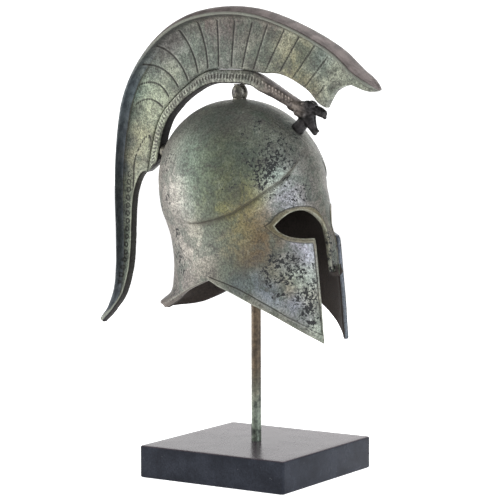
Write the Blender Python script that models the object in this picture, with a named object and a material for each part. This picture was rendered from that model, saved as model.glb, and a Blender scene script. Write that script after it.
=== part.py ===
"""Crested Greek helmet of bronze on a plain stone stand, at desk-top size.

Frame: metres, +Z up, origin at the middle of the slab's underside. The helmet
faces -Y and its right side is at -X. Every piece is mirrored about X = 0.

The bowl is one surface, S(angle, level). The angle runs from 0 at the nose to
180 degrees at the nape, and each level is a horizontal oval whose reach, width
and bluntness come from SECTIONS. The eye, nose and cheek outlines are drawn on
that surface, and the wall is solidified inwards from it.
"""
import bmesh
import bpy
import math
import numpy as np
from mathutils import Matrix, Vector
from mathutils.bvhtree import BVHTree

# Gap between pieces that touch, and between pieces that follow one curve
SEAT_GAP = 0.0003
CURVE_GAP = 0.0004

# Stand
SLAB_SIDE = 0.150
SLAB_HEIGHT = 0.0285
SLAB_CORNER_CHAMFER = 0.0026
SLAB_EDGE_CHAMFER = 0.0013
ROD_DIAMETER = 0.009
ROD_SOCKET_DEPTH = 0.012
ROD_TOP_CHAMFER = 0.0015
TIP_CLEARANCE = 0.0955

# Bowl
BOWL_HEIGHT = 0.210
WIDEST_HEIGHT = 0.134
DOME_BACK = 0.094
DOME_FRONT = 0.065
DOME_HALF_WIDTH = 0.0635
DOME_MIDDLE = 0.014
CROWN_SHIFT = 0.0045
BOWL_WALL = 0.0046
NOSE_HALF_WIDTH = 0.0064
CHEEK_HALF_GAP = 0.0204

# Crest plate
CREST_HALF_WIDTH = 0.0135
CREST_CROWN = 0.0056
CREST_RIM = 0.0026
CREST_FILLET = 0.0075
WEB_THICKNESS = 0.009
CREST_FRONT = 0.120
CREST_BACK = 0.147
CREST_RISE = 0.0775
TAIL_DROP = 0.209

# Serpent that carries the crest
BAND_THICKNESS = 0.0145
BAND_DEPTH = 0.0125
BAND_RISE = 0.0135
BAND_FRONT = 0.0085
BAND_BACK = 0.1145
HEAD_REACH = 0.064
HEAD_DROP = 0.0435
JAW_THICKNESS = 0.0085
JAW_REACH = 0.036
SERPENT_CHAMFER = 0.0012

# Knob and rear peg between bowl and band
KNOB_RADIUS = 0.0070
KNOB_FOOT_RADIUS = 0.0052
KNOB_FOOT_HEIGHT = 0.0010
KNOB_BACK = 0.0168
PEG_DIAMETER = 0.0110
PEG_SHARE = 0.90

# Mesh fineness
DOME_ROWS = 9
BROW_COLUMNS = 9
ROUND_SIDES = 20
NOSE_COLUMNS = 2
REAR_COLUMNS = 15
EYE_ROWS = 3
CHEEK_ROWS = 8
NOSE_ROWS = 5

TIP_LEVEL = SLAB_HEIGHT + TIP_CLEARANCE
DOME_TOP = TIP_LEVEL + BOWL_HEIGHT
BROW_LEVEL = WIDEST_HEIGHT * 0.9328
NOSE_ROOT_LEVEL = WIDEST_HEIGHT * 0.7388
NOSE_TIP_LEVEL = WIDEST_HEIGHT * 0.4254

# Bowl sections: level as a share of WIDEST_HEIGHT, then shares of DOME_BACK,
# DOME_FRONT, DOME_HALF_WIDTH and DOME_MIDDLE, and the front's bluntness (2 is
# a plain ellipse, more is squarer)
SECTIONS = np.array([
    (-0.060, 0.85, 1.388, 0.819, 0.286, 2.15),
    (0.157, 1.02, 1.338, 0.850, 0.286, 2.15),
    (0.194, 1.04, 1.331, 0.855, 0.286, 2.15),
    (0.224, 0.985, 1.323, 0.858, 0.286, 2.15),
    (0.261, 0.91, 1.314, 0.861, 0.286, 2.15),
    (0.302, 0.875, 1.303, 0.866, 0.286, 2.15),
    (0.381, 0.855, 1.285, 0.866, 0.286, 2.15),
    (0.463, 0.85, 1.266, 0.866, 0.286, 2.15),
    (0.582, 0.864, 1.238, 0.874, 0.357, 2.15),
    (0.660, 0.885, 1.215, 0.898, 0.429, 2.10),
    (0.739, 0.926, 1.169, 0.929, 0.536, 1.95),
    (0.828, 0.973, 1.115, 0.969, 0.714, 1.85),
    (0.910, 0.993, 1.062, 0.992, 0.857, 1.90),
    (1.000, 1.00, 1.000, 1.000, 1.000, 2.00),
])

# Outlines on the bowl: angle in degrees, level as a share of WIDEST_HEIGHT
NECK_RIM = np.array([(180.0, 0.186), (160.0, 0.186), (147.0, 0.196), (134.0, 0.255),
                     (115.6, 0.331), (98.0, 0.396)])
CHEEK_RIM = np.array([(98.0, 0.396), (83.0, 0.320), (71.0, 0.254), (59.0, 0.190), (47.0, 0.122),
                      (33.0, 0.054), (20.0, 0.0)])
EYE_TOP = np.array([(48.0, 0.760), (40.6, 0.812), (31.2, 0.853), (23.2, 0.860), (16.7, 0.840),
                    (11.0, 0.800), (7.2, 0.760)])
EYE_BOTTOM = np.array([(48.0, 0.760), (46.6, 0.728), (41.4, 0.696), (33.4, 0.681), (20.0, 0.678)])

# Crest outlines in the plane X = 0. Forward and back are shares of CREST_FRONT
# and CREST_BACK, up and down shares of CREST_RISE and TAIL_DROP, measured from
# the dome's top. Outer edge from the front tip over the top to the tail's tip
CREST_EDGE = np.array([
    (-1.044, 0.105), (-0.995, 0.165), (-0.885, 0.276), (-0.742, 0.472), (-0.515, 0.682),
    (-0.280, 0.842), (-0.060, 0.948), (0.160, 0.992), (0.325, 0.972), (0.469, 0.908),
    (0.567, 0.828), (0.695, 0.660), (0.786, 0.484), (0.855, 0.305), (0.905, 0.124),
    (0.940, -0.022), (0.961, -0.093), (0.975, -0.164), (0.988, -0.260), (0.995, -0.420),
    (0.993, -0.605), (1.000, -0.738), (1.026, -0.846), (1.085, -0.928), (1.160, -0.985),
])
# Keel of the front tongue and the plate's concave front edge, tip to beak
CREST_NOSE = np.array([
    (-1.033, 0.086), (-0.985, 0.081), (-0.940, 0.092), (-0.885, 0.120), (-0.815, 0.155),
    (-0.740, 0.130), (-0.680, 0.072), (-0.648, 0.005), (-0.614, -0.095),
])
# Lower edge of the plate over the open gap, beak to where the band joins it
CREST_BELLY = np.array([
    (-0.614, -0.095), (-0.570, -0.062), (-0.473, 0.088), (-0.408, 0.155), (-0.311, 0.232),
    (-0.218, 0.283), (-0.145, 0.292), (-0.104, 0.290), (-0.071, 0.2916),
])
# Inner edge of the tail, from the band's foot to the tip
TAIL_INNER = np.array([
    (0.785, -0.318), (0.824, -0.326), (0.848, -0.345), (0.866, -0.370), (0.886, -0.408),
    (0.901, -0.470), (0.908, -0.560), (0.914, -0.650), (0.926, -0.732), (0.948, -0.798),
    (0.990, -0.874), (1.060, -0.938), (1.146, -0.998),
])

# The band's top line, from its front over the knob to its foot: shares of
# BAND_FRONT or BAND_BACK and of BAND_RISE, counted from the band's seat over the
# dome. BAND_NARROWING gives its depth on the way, as shares of BAND_DEPTH
BAND_NARROWING = np.array([(0.0, 1.0), (0.35, 0.98), (0.55, 0.76), (0.75, 0.80), (1.0, 0.86)])
BAND_LINE = np.array([
    (-1.00, -0.25), (0.010, -0.12), (0.100, 0.00), (0.240, 0.045), (0.400, -0.02),
    (0.495, -0.30), (0.590, -0.80), (0.686, -1.40), (0.782, -2.13), (0.860, -2.83),
    (0.912, -3.65), (0.950, -4.65), (0.980, -5.65), (1.000, -6.45),
])

# Serpent in front of the band: shares of HEAD_REACH and HEAD_DROP from the
# band's front end. The stem's foot is drawn inside the dome and trimmed there
SERPENT_TOP = np.array([(0.031, -0.155), (0.353, -0.406), (0.583, -0.548)])
SERPENT_HEAD = np.array([
    (0.731, -0.525), (0.827, -0.622), (0.961, -0.760), (0.964, -0.884), (0.906, -0.875),
    (0.827, -0.840), (0.780, -0.890), (0.792, -1.000), (0.859, -1.140), (0.836, -1.235),
    (0.773, -1.140), (0.705, -1.050),
])
STEM_FOOT = np.array([(0.600, -1.32), (0.516, -1.20)])
SERPENT_BOTTOM = np.array([(0.583, -0.916), (0.509, -0.750), (0.391, -0.643), (0.217, -0.520), (-0.019, -0.364)])


def clear_scene():
    for item in list(bpy.data.objects):
        bpy.data.objects.remove(item, do_unlink=True)


def make_material(name, colour, metallic, roughness):
    material = bpy.data.materials.new(name)
    material.use_nodes = True
    shader = material.node_tree.nodes["Principled BSDF"]
    shader.inputs["Base Color"].default_value = (*colour, 1.0)
    shader.inputs["Metallic"].default_value = metallic
    shader.inputs["Roughness"].default_value = roughness
    return material


def smooth(x, knots, values):
    """Cubic curve through (knots, values) with the slopes of its neighbours."""
    slopes = np.gradient(values, knots)
    x = np.clip(x, knots[0], knots[-1])
    left = np.clip(np.searchsorted(knots, x) - 1, 0, len(knots) - 2)
    step = knots[left + 1] - knots[left]
    t = (x - knots[left]) / step
    start = (1 + 2 * t) * (1 - t) ** 2 * values[left] + t * (1 - t) ** 2 * step * slopes[left]
    end = t * t * (3 - 2 * t) * values[left + 1] + t * t * (t - 1) * step * slopes[left + 1]
    return start + end


def along(points, count):
    """Points at even steps along a smooth curve through the given points."""
    points = np.asarray(points, float)
    chords = np.linalg.norm(np.diff(points, axis=0), axis=1)
    knots = np.concatenate([[0.0], np.cumsum(chords)]) / chords.sum()
    places = np.linspace(0.0, 1.0, count)
    return np.stack([smooth(places, knots, points[:, k]) for k in (0, 1)], axis=1)


def bowl_point(angle, level):
    """Outer surface of the bowl. Angle in radians, level above the cheek tips."""
    angle, level = np.broadcast_arrays(np.asarray(angle, float), np.asarray(level, float))
    columns = [smooth(level / WIDEST_HEIGHT, SECTIONS[:, 0], SECTIONS[:, k]) for k in range(1, 6)]
    rise = np.clip((level - WIDEST_HEIGHT) / (BOWL_HEIGHT - WIDEST_HEIGHT), 0.0, 1.0)
    shrink = np.sqrt(1.0 - rise * rise)
    middle = columns[3] * DOME_MIDDLE
    back = (columns[0] * DOME_BACK - middle) * shrink
    front = (columns[1] * DOME_FRONT + middle) * shrink
    half = columns[2] * DOME_HALF_WIDTH * shrink
    facing = np.cos(angle)
    side = np.abs(np.sin(angle))
    power = np.where(facing > 0, 2.0 / columns[4], 1.0)
    reach = np.where(facing > 0, -front * np.abs(facing) ** power, back * np.abs(facing))
    x = -half * side ** power
    y = middle + CROWN_SHIFT * rise + reach
    return np.stack([x, y, TIP_LEVEL + level], axis=-1)


def outline(table, count):
    """Even points along an outline drawn on the bowl, as angle and level."""
    scaled = np.stack([np.radians(table[:, 0]) * DOME_HALF_WIDTH, table[:, 1] * WIDEST_HEIGHT], axis=1)
    points = along(scaled, count)
    return points[:, 0] / DOME_HALF_WIDTH, points[:, 1]


def between(top, bottom, shares):
    """Rows of (angle, level) blended from one line of points to another."""
    shares = np.asarray(shares)[:, None]
    angle = top[0] + (bottom[0] - top[0]) * shares
    level = top[1] + (bottom[1] - top[1]) * shares
    return angle, level


def level_line(angles, level):
    return np.asarray(angles), np.full(len(angles), level)


def half_width_angle(half_width, level):
    """Angle at which the bowl's front is this far from the middle plane."""
    row = level / WIDEST_HEIGHT
    half = smooth(row, SECTIONS[:, 0], SECTIONS[:, 3]) * DOME_HALF_WIDTH
    power = smooth(row, SECTIONS[:, 0], SECTIONS[:, 5]) / 2.0
    return np.arcsin(np.clip((half_width / half) ** power, 0.0, 1.0))


def bowl_blocks():
    """The near half of the bowl as blocks of (angle, level) that share edges."""
    corner = np.radians(EYE_TOP[0, 0])
    corner_level = EYE_TOP[0, 1] * WIDEST_HEIGHT
    notch = np.radians(CHEEK_RIM[0, 0])
    nose_angle = half_width_angle(NOSE_HALF_WIDTH, NOSE_ROOT_LEVEL)

    arch_table = np.vstack([EYE_TOP, (np.degrees(nose_angle), NOSE_ROOT_LEVEL / WIDEST_HEIGHT)])
    arch_angle, arch_level = outline(arch_table, BROW_COLUMNS + 1)
    nose_top = np.linspace(0.0, nose_angle, NOSE_COLUMNS + 1)
    brow_angle = np.concatenate([nose_top[:-1], arch_angle[::-1]])
    brow_level = np.concatenate([np.full(NOSE_COLUMNS, NOSE_ROOT_LEVEL), arch_level[::-1]])
    brow_top = np.linspace(0.0, corner, NOSE_COLUMNS + BROW_COLUMNS + 1)

    rear_split = REAR_COLUMNS // 3
    rear_angles = np.concatenate([np.linspace(corner, notch, rear_split + 1)[:-1],
                                  np.linspace(notch, math.pi, REAR_COLUMNS - rear_split + 1)])
    cheek_level = smooth(np.degrees(rear_angles), CHEEK_RIM[::-1, 0], CHEEK_RIM[::-1, 1])
    neck_level = smooth(np.degrees(rear_angles), NECK_RIM[::-1, 0], NECK_RIM[::-1, 1])
    rear_rim = np.where(rear_angles < notch, cheek_level, neck_level) * WIDEST_HEIGHT

    crown_angles = np.concatenate([brow_top, rear_angles[1:]])
    crown_rise = np.cos(np.linspace(0.0, math.pi / 2, DOME_ROWS + 1))[1:]
    crown_levels = WIDEST_HEIGHT + (BOWL_HEIGHT - WIDEST_HEIGHT) * crown_rise
    crown_levels = np.append(crown_levels, BROW_LEVEL)
    crown_angle, crown_level = np.meshgrid(crown_angles, crown_levels)

    even = np.linspace(0.0, 1.0, EYE_ROWS + 1)
    downward = 1.0 - (1.0 - np.linspace(0.0, 1.0, CHEEK_ROWS + 1)) ** 1.35
    brow = between(level_line(brow_top, BROW_LEVEL), (brow_angle, brow_level), even)
    temple = between(level_line(rear_angles, BROW_LEVEL), level_line(rear_angles, corner_level), even)
    neck = between(level_line(rear_angles, corner_level), (rear_angles, rear_rim), downward)

    lid_angle, lid_level = outline(EYE_BOTTOM, BROW_COLUMNS)
    jaw_angles = lid_angle
    jaw_level = smooth(np.degrees(jaw_angles), CHEEK_RIM[::-1, 0], CHEEK_RIM[::-1, 1]) * WIDEST_HEIGHT
    cheek_angle, cheek_rows = between((lid_angle, lid_level), (jaw_angles, jaw_level), downward)
    front_angle = half_width_angle(CHEEK_HALF_GAP, cheek_rows[:, -1:])
    stretch = (cheek_angle - corner) / (cheek_angle[:, -1:] - corner)
    cheek = corner + (front_angle - corner) * stretch, cheek_rows

    drop = np.linspace(0.0, 1.0, NOSE_ROWS + 1)[:, None]
    nose_level = NOSE_ROOT_LEVEL + (NOSE_TIP_LEVEL - NOSE_ROOT_LEVEL) * np.sin(drop * math.pi / 2) ** 0.9
    swell = 1.0 + 0.10 * np.sin(math.pi * drop) - 0.45 * drop ** 8
    nose_half = half_width_angle(NOSE_HALF_WIDTH * swell, nose_level)
    nose = nose_half * np.linspace(0.0, 1.0, NOSE_COLUMNS + 1), nose_level + 0.0 * nose_top
    return {"crown": (crown_angle, crown_level), "brow": brow, "temple": temple,
            "neck": neck, "cheek": cheek, "nose": nose}


def add_grid(mesh, points):
    """Quads through a grid of points, near side and mirrored far side."""
    for flip in (False, True):
        placed = points * (-1.0, 1.0, 1.0) if flip else points
        corners = [[mesh.verts.new(point) for point in row] for row in placed]
        for upper, lower in zip(corners[:-1], corners[1:]):
            for k in range(len(upper) - 1):
                quad = [upper[k], upper[k + 1], lower[k + 1], lower[k]]
                mesh.faces.new(quad if flip else quad[::-1])


def new_object(name, mesh, material, smooth_angle=35.0):
    data = bpy.data.meshes.new(name)
    mesh.to_mesh(data)
    mesh.free()
    data.materials.append(material)
    data.shade_smooth()
    data.set_sharp_from_angle(angle=math.radians(smooth_angle))
    item = bpy.data.objects.new(name, data)
    bpy.context.scene.collection.objects.link(item)
    return item


def bowl_skin():
    """The outer surface of the bowl as one open mesh."""
    mesh = bmesh.new()
    for angle, level in bowl_blocks().values():
        add_grid(mesh, bowl_point(angle, level))
    first_ring = bowl_blocks()["crown"]
    ring = bowl_point(first_ring[0][0], first_ring[1][0])
    pole = np.broadcast_to(bowl_point(0.0, BOWL_HEIGHT), ring.shape)
    add_grid(mesh, np.stack([pole, ring]))
    bmesh.ops.remove_doubles(mesh, verts=mesh.verts, dist=1e-6)
    flat = [face for face in mesh.faces if face.calc_area() < 1e-12]
    bmesh.ops.delete(mesh, geom=flat, context="FACES")
    bmesh.ops.dissolve_degenerate(mesh, edges=mesh.edges, dist=1e-7)
    bmesh.ops.recalc_face_normals(mesh, faces=mesh.faces)
    return mesh


def make_bowl(material):
    bowl = new_object("helmet_bowl", bowl_skin(), material)
    wall = bowl.modifiers.new("wall", "SOLIDIFY")
    wall.thickness = BOWL_WALL
    wall.offset = -1.0
    wall.use_even_offset = True
    return bowl


def dome_cutter():
    """Closed dome a seat's gap larger than the bowl, which trims what stands on it."""
    angles = np.linspace(0.0, math.pi, 49)
    rise = np.cos(np.linspace(0.0, math.pi / 2, 25))[1:]
    levels = WIDEST_HEIGHT + (BOWL_HEIGHT - WIDEST_HEIGHT) * rise
    levels = np.append(levels, (BROW_LEVEL, NOSE_ROOT_LEVEL))
    angle, level = np.meshgrid(angles, levels)
    points = bowl_point(angle, level)
    middle = bowl_point(0.0, BOWL_HEIGHT) * (0.0, 1.0, 0.0) + (0.0, 0.0, TIP_LEVEL + WIDEST_HEIGHT)
    grown = 1.0 + CURVE_GAP / (BOWL_HEIGHT - WIDEST_HEIGHT)
    points = middle + (points - middle) * grown
    top = middle + (bowl_point(0.0, BOWL_HEIGHT) - middle) * grown
    mesh = bmesh.new()
    add_grid(mesh, points)
    add_grid(mesh, np.stack([np.broadcast_to(top, points[0].shape), points[0]]))
    bmesh.ops.remove_doubles(mesh, verts=mesh.verts, dist=1e-7)
    flat = [face for face in mesh.faces if face.calc_area() < 1e-13]
    bmesh.ops.delete(mesh, geom=flat, context="FACES")
    bmesh.ops.holes_fill(mesh, edges=[edge for edge in mesh.edges if edge.is_boundary])
    bmesh.ops.recalc_face_normals(mesh, faces=mesh.faces)
    data = bpy.data.meshes.new("dome_cutter")
    mesh.to_mesh(data)
    mesh.free()
    cutter = bpy.data.objects.new("dome_cutter", data)
    bpy.context.scene.collection.objects.link(cutter)
    cutter.hide_render = True
    cutter.display_type = "WIRE"
    return cutter


def trim(item, cutter):
    cut = item.modifiers.new("seat", "BOOLEAN")
    cut.operation = "DIFFERENCE"
    cut.solver = "EXACT"
    cut.object = cutter


def crest_points(table):
    """Real places of a crest outline given in shares, as (y, z)."""
    across = np.where(table[:, 0] < 0, CREST_FRONT, CREST_BACK)
    upward = np.where(table[:, 1] < 0, TAIL_DROP, CREST_RISE)
    return np.stack([table[:, 0] * across, DOME_TOP + table[:, 1] * upward], axis=1)


def belly_points(table):
    """The plate's front outlines: their drops are shares of CREST_RISE too."""
    across = np.where(table[:, 0] < 0, CREST_FRONT, CREST_BACK)
    return np.stack([table[:, 0] * across, DOME_TOP + table[:, 1] * CREST_RISE], axis=1)


def band_points():
    """The band's top line as (y, z)."""
    across = np.where(BAND_LINE[:, 0] < 0, BAND_FRONT, BAND_BACK)
    seat = DOME_TOP + BAND_RISE + BAND_DEPTH
    return np.stack([BAND_LINE[:, 0] * across, seat + BAND_LINE[:, 1] * BAND_RISE], axis=1)


def line_normals(points):
    """Unit normals on the right hand of a line of (y, z) points."""
    run = np.gradient(points, axis=0)
    run /= np.linalg.norm(run, axis=1)[:, None]
    return np.stack([run[:, 1], -run[:, 0]], axis=1)


def plate_ring(outer, inner, half_width, crown, rim, fillet, half_web):
    """One closed section of the crest plate, from its outer edge to its inner edge."""
    axis = inner - outer
    depth = np.linalg.norm(axis)
    axis = axis / max(depth, 1e-9)
    across = np.array([-1.0, -0.82, -0.45, 0.0, 0.45, 0.82, 1.0])
    ring = [(half_width * a, -crown * (1.0 - a * a)) for a in across]
    deep = min(fillet, 0.75 * depth)
    edge = min(rim, 0.35 * depth)
    right = [(half_width, edge)]
    for turn in (0.35, 0.7, 1.0):
        sweep = math.sin(turn * math.pi / 2)
        spread = half_width + (half_web - half_width) * sweep
        right.append((spread, edge + (deep - edge) * (1.0 - math.cos(turn * math.pi / 2))))
    right.append((half_web, depth - min(0.0008, 0.1 * depth)))
    right.append((half_web * 0.8, depth))
    ring += right + [(-x, d) for x, d in right[::-1]]
    return [(x, *(outer + axis * d)) for x, d in ring]


def loft(rings):
    """Closed mesh through rings of equal length, flat at both ends."""
    mesh = bmesh.new()
    placed = [[mesh.verts.new(point) for point in ring] for ring in rings]
    for one, two in zip(placed[:-1], placed[1:]):
        for k in range(len(one)):
            following = (k + 1) % len(one)
            mesh.faces.new([one[k], one[following], two[following], two[k]])
    mesh.faces.new(placed[0][::-1])
    mesh.faces.new(placed[-1])
    bmesh.ops.recalc_face_normals(mesh, faces=mesh.faces)
    return mesh


def crest_lines():
    """Matching points along the plate's outer and inner edges, front to tail."""
    outer = crest_points(CREST_EDGE)
    nose = belly_points(CREST_NOSE)
    belly = belly_points(CREST_BELLY)
    band = band_points()
    tail = crest_points(TAIL_INNER)
    inner_runs = [along(nose, 10)[:-1], along(belly, 9)[:-1], along(band, 25)[:-1], along(tail, 17)]
    inner = np.vstack(inner_runs)
    knots = np.array([0.0, 9, 17, 41, len(inner) - 1])
    shares = np.array([0.0, 0.115, 0.262, 0.640, 1.0])
    places = np.interp(np.arange(len(inner)), knots, shares)
    chords = np.linalg.norm(np.diff(outer, axis=0), axis=1)
    outer_knots = np.concatenate([[0.0], np.cumsum(chords)]) / chords.sum()
    edge = np.stack([smooth(places, outer_knots, outer[:, k]) for k in (0, 1)], axis=1)
    return edge, inner, (17, 41)


def make_plume(material):
    edge, inner, _ = crest_lines()
    count = len(edge)
    front = np.clip((np.arange(count) + 0.2) / 4.5, 0.0, 1.0)
    blunt = np.sqrt(1.0 - (1.0 - front) ** 2)
    taper = np.clip((1.0 - np.arange(count) / (count - 1)) / 0.22, 0.0, 1.0)
    slim = 0.34 + 0.66 * np.sqrt(1.0 - (1.0 - taper) ** 2)
    wide = CREST_HALF_WIDTH * blunt * slim
    rings = []
    for k in range(count):
        half_web = min(WEB_THICKNESS / 2, wide[k] * 0.62)
        crown = CREST_CROWN * blunt[k] * slim[k]
        rings.append(plate_ring(edge[k], inner[k], wide[k], crown, CREST_RIM, CREST_FILLET, half_web))
    return new_object("crest_plume", loft(rings), material)


def band_lines():
    """The band's top and under lines, just inside the plate's inner edge."""
    _, inner, (first, last) = crest_lines()
    shared = inner[first:last + 1]
    inward = line_normals(shared)
    shares = np.linspace(0.0, 1.0, len(shared))
    depth = BAND_DEPTH * smooth(shares, BAND_NARROWING[:, 0], BAND_NARROWING[:, 1])
    return shared + inward * CURVE_GAP, shared + inward * depth[:, None]


def serpent_rings():
    """Four outlines across the serpent, the outer two drawn in by its chamfer."""
    top, under = band_lines()
    start = top[0]
    scale = np.array([-HEAD_REACH, HEAD_DROP])
    front = [start + part * scale for part in (SERPENT_TOP, SERPENT_HEAD, STEM_FOOT, SERPENT_BOTTOM)]
    clear = under[:, 0] > front[3][-1, 0] + BAND_DEPTH * 0.4
    points = np.vstack([top[::-1], *front, under[clear]])
    forward = np.clip((start[0] - points[:, 0]) / JAW_REACH, 0.0, 1.0)
    narrowing = (BAND_THICKNESS - JAW_THICKNESS) / 2 * forward * forward * (3.0 - 2.0 * forward)
    half = BAND_THICKNESS / 2 - narrowing
    before, after = np.roll(points, 1, axis=0), np.roll(points, -1, axis=0)
    one, two = points - before, after - points
    one /= np.linalg.norm(one, axis=1)[:, None]
    two /= np.linalg.norm(two, axis=1)[:, None]
    inward = np.stack([-(one + two)[:, 1], (one + two)[:, 0]], axis=1)
    inward /= np.linalg.norm(inward, axis=1)[:, None]
    drawn = points + inward * SERPENT_CHAMFER
    rings = []
    for side, line, deep in ((-1, drawn, 0.0), (-1, points, 1.0), (1, points, 1.0), (1, drawn, 0.0)):
        x = side * (half - deep * SERPENT_CHAMFER)
        rings.append([(x[k], *line[k]) for k in range(len(line))])
    return rings


def make_serpent(material, cutter):
    serpent = new_object("crest_serpent", loft(serpent_rings()), material)
    trim(serpent, cutter)
    return serpent


def turned(profile, sides):
    """Closed solid turned about Z from (radius, height) points, top to bottom."""
    mesh = bmesh.new()
    spins = np.arange(sides) * 2 * math.pi / sides
    rings = [[mesh.verts.new((r * math.cos(a), r * math.sin(a), h)) for a in spins] for r, h in profile]
    for one, two in zip(rings[:-1], rings[1:]):
        for k in range(sides):
            following = (k + 1) % sides
            mesh.faces.new([one[k], one[following], two[following], two[k]])
    mesh.faces.new(rings[0])
    mesh.faces.new(rings[-1][::-1])
    bmesh.ops.recalc_face_normals(mesh, faces=mesh.faces)
    return mesh


def dome_height(y):
    """Height of the dome's outside in the middle plane at this y."""
    heights = np.linspace(WIDEST_HEIGHT, BOWL_HEIGHT, 400)
    front, back = bowl_point(0.0, heights), bowl_point(math.pi, heights)
    line = front if y < bowl_point(0.0, BOWL_HEIGHT)[1] else back
    order = np.argsort(line[:, 1])
    return float(np.interp(y, line[order, 1], line[order, 2]))


def make_knob(material, cutter):
    """Ball on a low foot that holds the band over the dome."""
    _, under = band_lines()
    order = np.argsort(under[:, 0])
    near = np.linspace(KNOB_BACK - KNOB_RADIUS * 0.6, KNOB_BACK + KNOB_RADIUS * 0.6, 9)
    top = np.interp(near, under[order, 0], under[order, 1]).min() - SEAT_GAP
    base = dome_height(KNOB_BACK)
    foot_top = base + KNOB_FOOT_HEIGHT
    middle = foot_top + math.sqrt(KNOB_RADIUS ** 2 - (KNOB_FOOT_RADIUS * 0.88) ** 2)
    high = math.asin(min((top - middle) / KNOB_RADIUS, 0.95))
    low = math.asin((foot_top - middle) / KNOB_RADIUS)
    turns = np.linspace(high, low, 9)
    profile = [(KNOB_RADIUS * math.cos(t), middle + KNOB_RADIUS * math.sin(t)) for t in turns]
    profile += [(KNOB_FOOT_RADIUS, foot_top), (KNOB_FOOT_RADIUS, base - KNOB_FOOT_HEIGHT * 2)]
    knob = new_object("crest_knob", turned(profile, ROUND_SIDES), material)
    knob.location.y = KNOB_BACK
    trim(knob, cutter)
    return knob


def make_peg(material, cutter):
    """Short round peg between the dome's back and the band's under side."""
    _, under = band_lines()
    spot = PEG_SHARE * (len(under) - 1)
    here = np.array([np.interp(spot, np.arange(len(under)), under[:, k]) for k in (0, 1)])
    run = under[math.ceil(spot)] - under[math.ceil(spot) - 1]
    run /= np.linalg.norm(run)
    toward = np.array([run[1], -run[0]])
    length = BAND_DEPTH * 2.2
    peg = new_object("rear_peg", turned([(PEG_DIAMETER / 2, length), (PEG_DIAMETER / 2, 0.0)],
                                        ROUND_SIDES), material)
    start = here + toward * CURVE_GAP
    direction = Vector((0.0, toward[0], toward[1]))
    turn = direction.to_track_quat("Z", "X").to_matrix().to_4x4()
    peg.matrix_world = Matrix.Translation((0.0, start[0], start[1])) @ turn
    trim(peg, cutter)
    return peg


def make_slab(material):
    """Stone slab with flat chamfers and a blind socket for the rod."""
    mesh = bmesh.new()
    bmesh.ops.create_cube(mesh, size=1.0)
    bmesh.ops.scale(mesh, vec=(SLAB_SIDE, SLAB_SIDE, SLAB_HEIGHT), verts=mesh.verts)
    bmesh.ops.translate(mesh, vec=(0.0, 0.0, SLAB_HEIGHT / 2), verts=mesh.verts)
    upright = [edge for edge in mesh.edges if abs(edge.verts[0].co.z - edge.verts[1].co.z) > 1e-6]
    bmesh.ops.bevel(mesh, geom=upright, offset=SLAB_CORNER_CHAMFER, segments=1, affect="EDGES")
    level = [edge for edge in mesh.edges if abs(edge.verts[0].co.z - edge.verts[1].co.z) < 1e-6]
    bmesh.ops.bevel(mesh, geom=level, offset=SLAB_EDGE_CHAMFER, segments=1, affect="EDGES")
    slab = new_object("stand_base", mesh, material)
    radius = ROD_DIAMETER / 2 + SEAT_GAP
    socket = new_object("rod_socket", turned([(radius, SLAB_HEIGHT * 2), (radius, SLAB_HEIGHT - ROD_SOCKET_DEPTH)],
                                             ROUND_SIDES), material)
    socket.hide_render = True
    socket.display_type = "WIRE"
    trim(slab, socket)
    return slab


def make_rod(material, bowl):
    """Rod from the slab's socket up to the bowl's inside, found by looking up."""
    bpy.context.view_layer.update()
    shell = BVHTree.FromObject(bowl, bpy.context.evaluated_depsgraph_get())
    radius = ROD_DIAMETER / 2
    reach = [DOME_TOP]
    for turn in np.linspace(0.0, 2 * math.pi, ROUND_SIDES, endpoint=False):
        below = Vector((radius * math.cos(turn), radius * math.sin(turn), SLAB_HEIGHT))
        hit = shell.ray_cast(below, Vector((0.0, 0.0, 1.0)))[0]
        if hit is not None:
            reach.append(hit.z)
    top = min(reach) - SEAT_GAP
    foot = SLAB_HEIGHT - ROD_SOCKET_DEPTH + SEAT_GAP
    profile = [(radius - ROD_TOP_CHAMFER, top), (radius, top - ROD_TOP_CHAMFER), (radius, foot)]
    return new_object("stand_rod", turned(profile, ROUND_SIDES), material)


def main():
    clear_scene()
    bronze = make_material("bronze_patina", (0.23, 0.25, 0.20), 0.6, 0.5)
    crest = make_material("crest_patina", (0.28, 0.28, 0.22), 0.5, 0.6)
    brown = make_material("serpent_bronze", (0.10, 0.085, 0.075), 0.7, 0.45)
    stone = make_material("slab_stone", (0.045, 0.047, 0.055), 0.0, 0.35)
    rod_finish = make_material("rod_patina", (0.17, 0.14, 0.10), 0.6, 0.5)
    cutter = dome_cutter()
    bowl = make_bowl(bronze)
    make_plume(crest)
    make_serpent(brown, cutter)
    make_knob(brown, cutter)
    make_peg(crest, cutter)
    make_slab(stone)
    make_rod(rod_finish, bowl)


if __name__ == "__main__":
    main()
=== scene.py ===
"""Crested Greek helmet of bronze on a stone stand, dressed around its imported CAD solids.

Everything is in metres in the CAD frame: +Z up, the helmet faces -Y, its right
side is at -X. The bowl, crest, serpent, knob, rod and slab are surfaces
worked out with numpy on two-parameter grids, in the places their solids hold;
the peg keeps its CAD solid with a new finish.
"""
import math

import bpy
import numpy as np
from mathutils import Matrix, Vector


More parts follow.
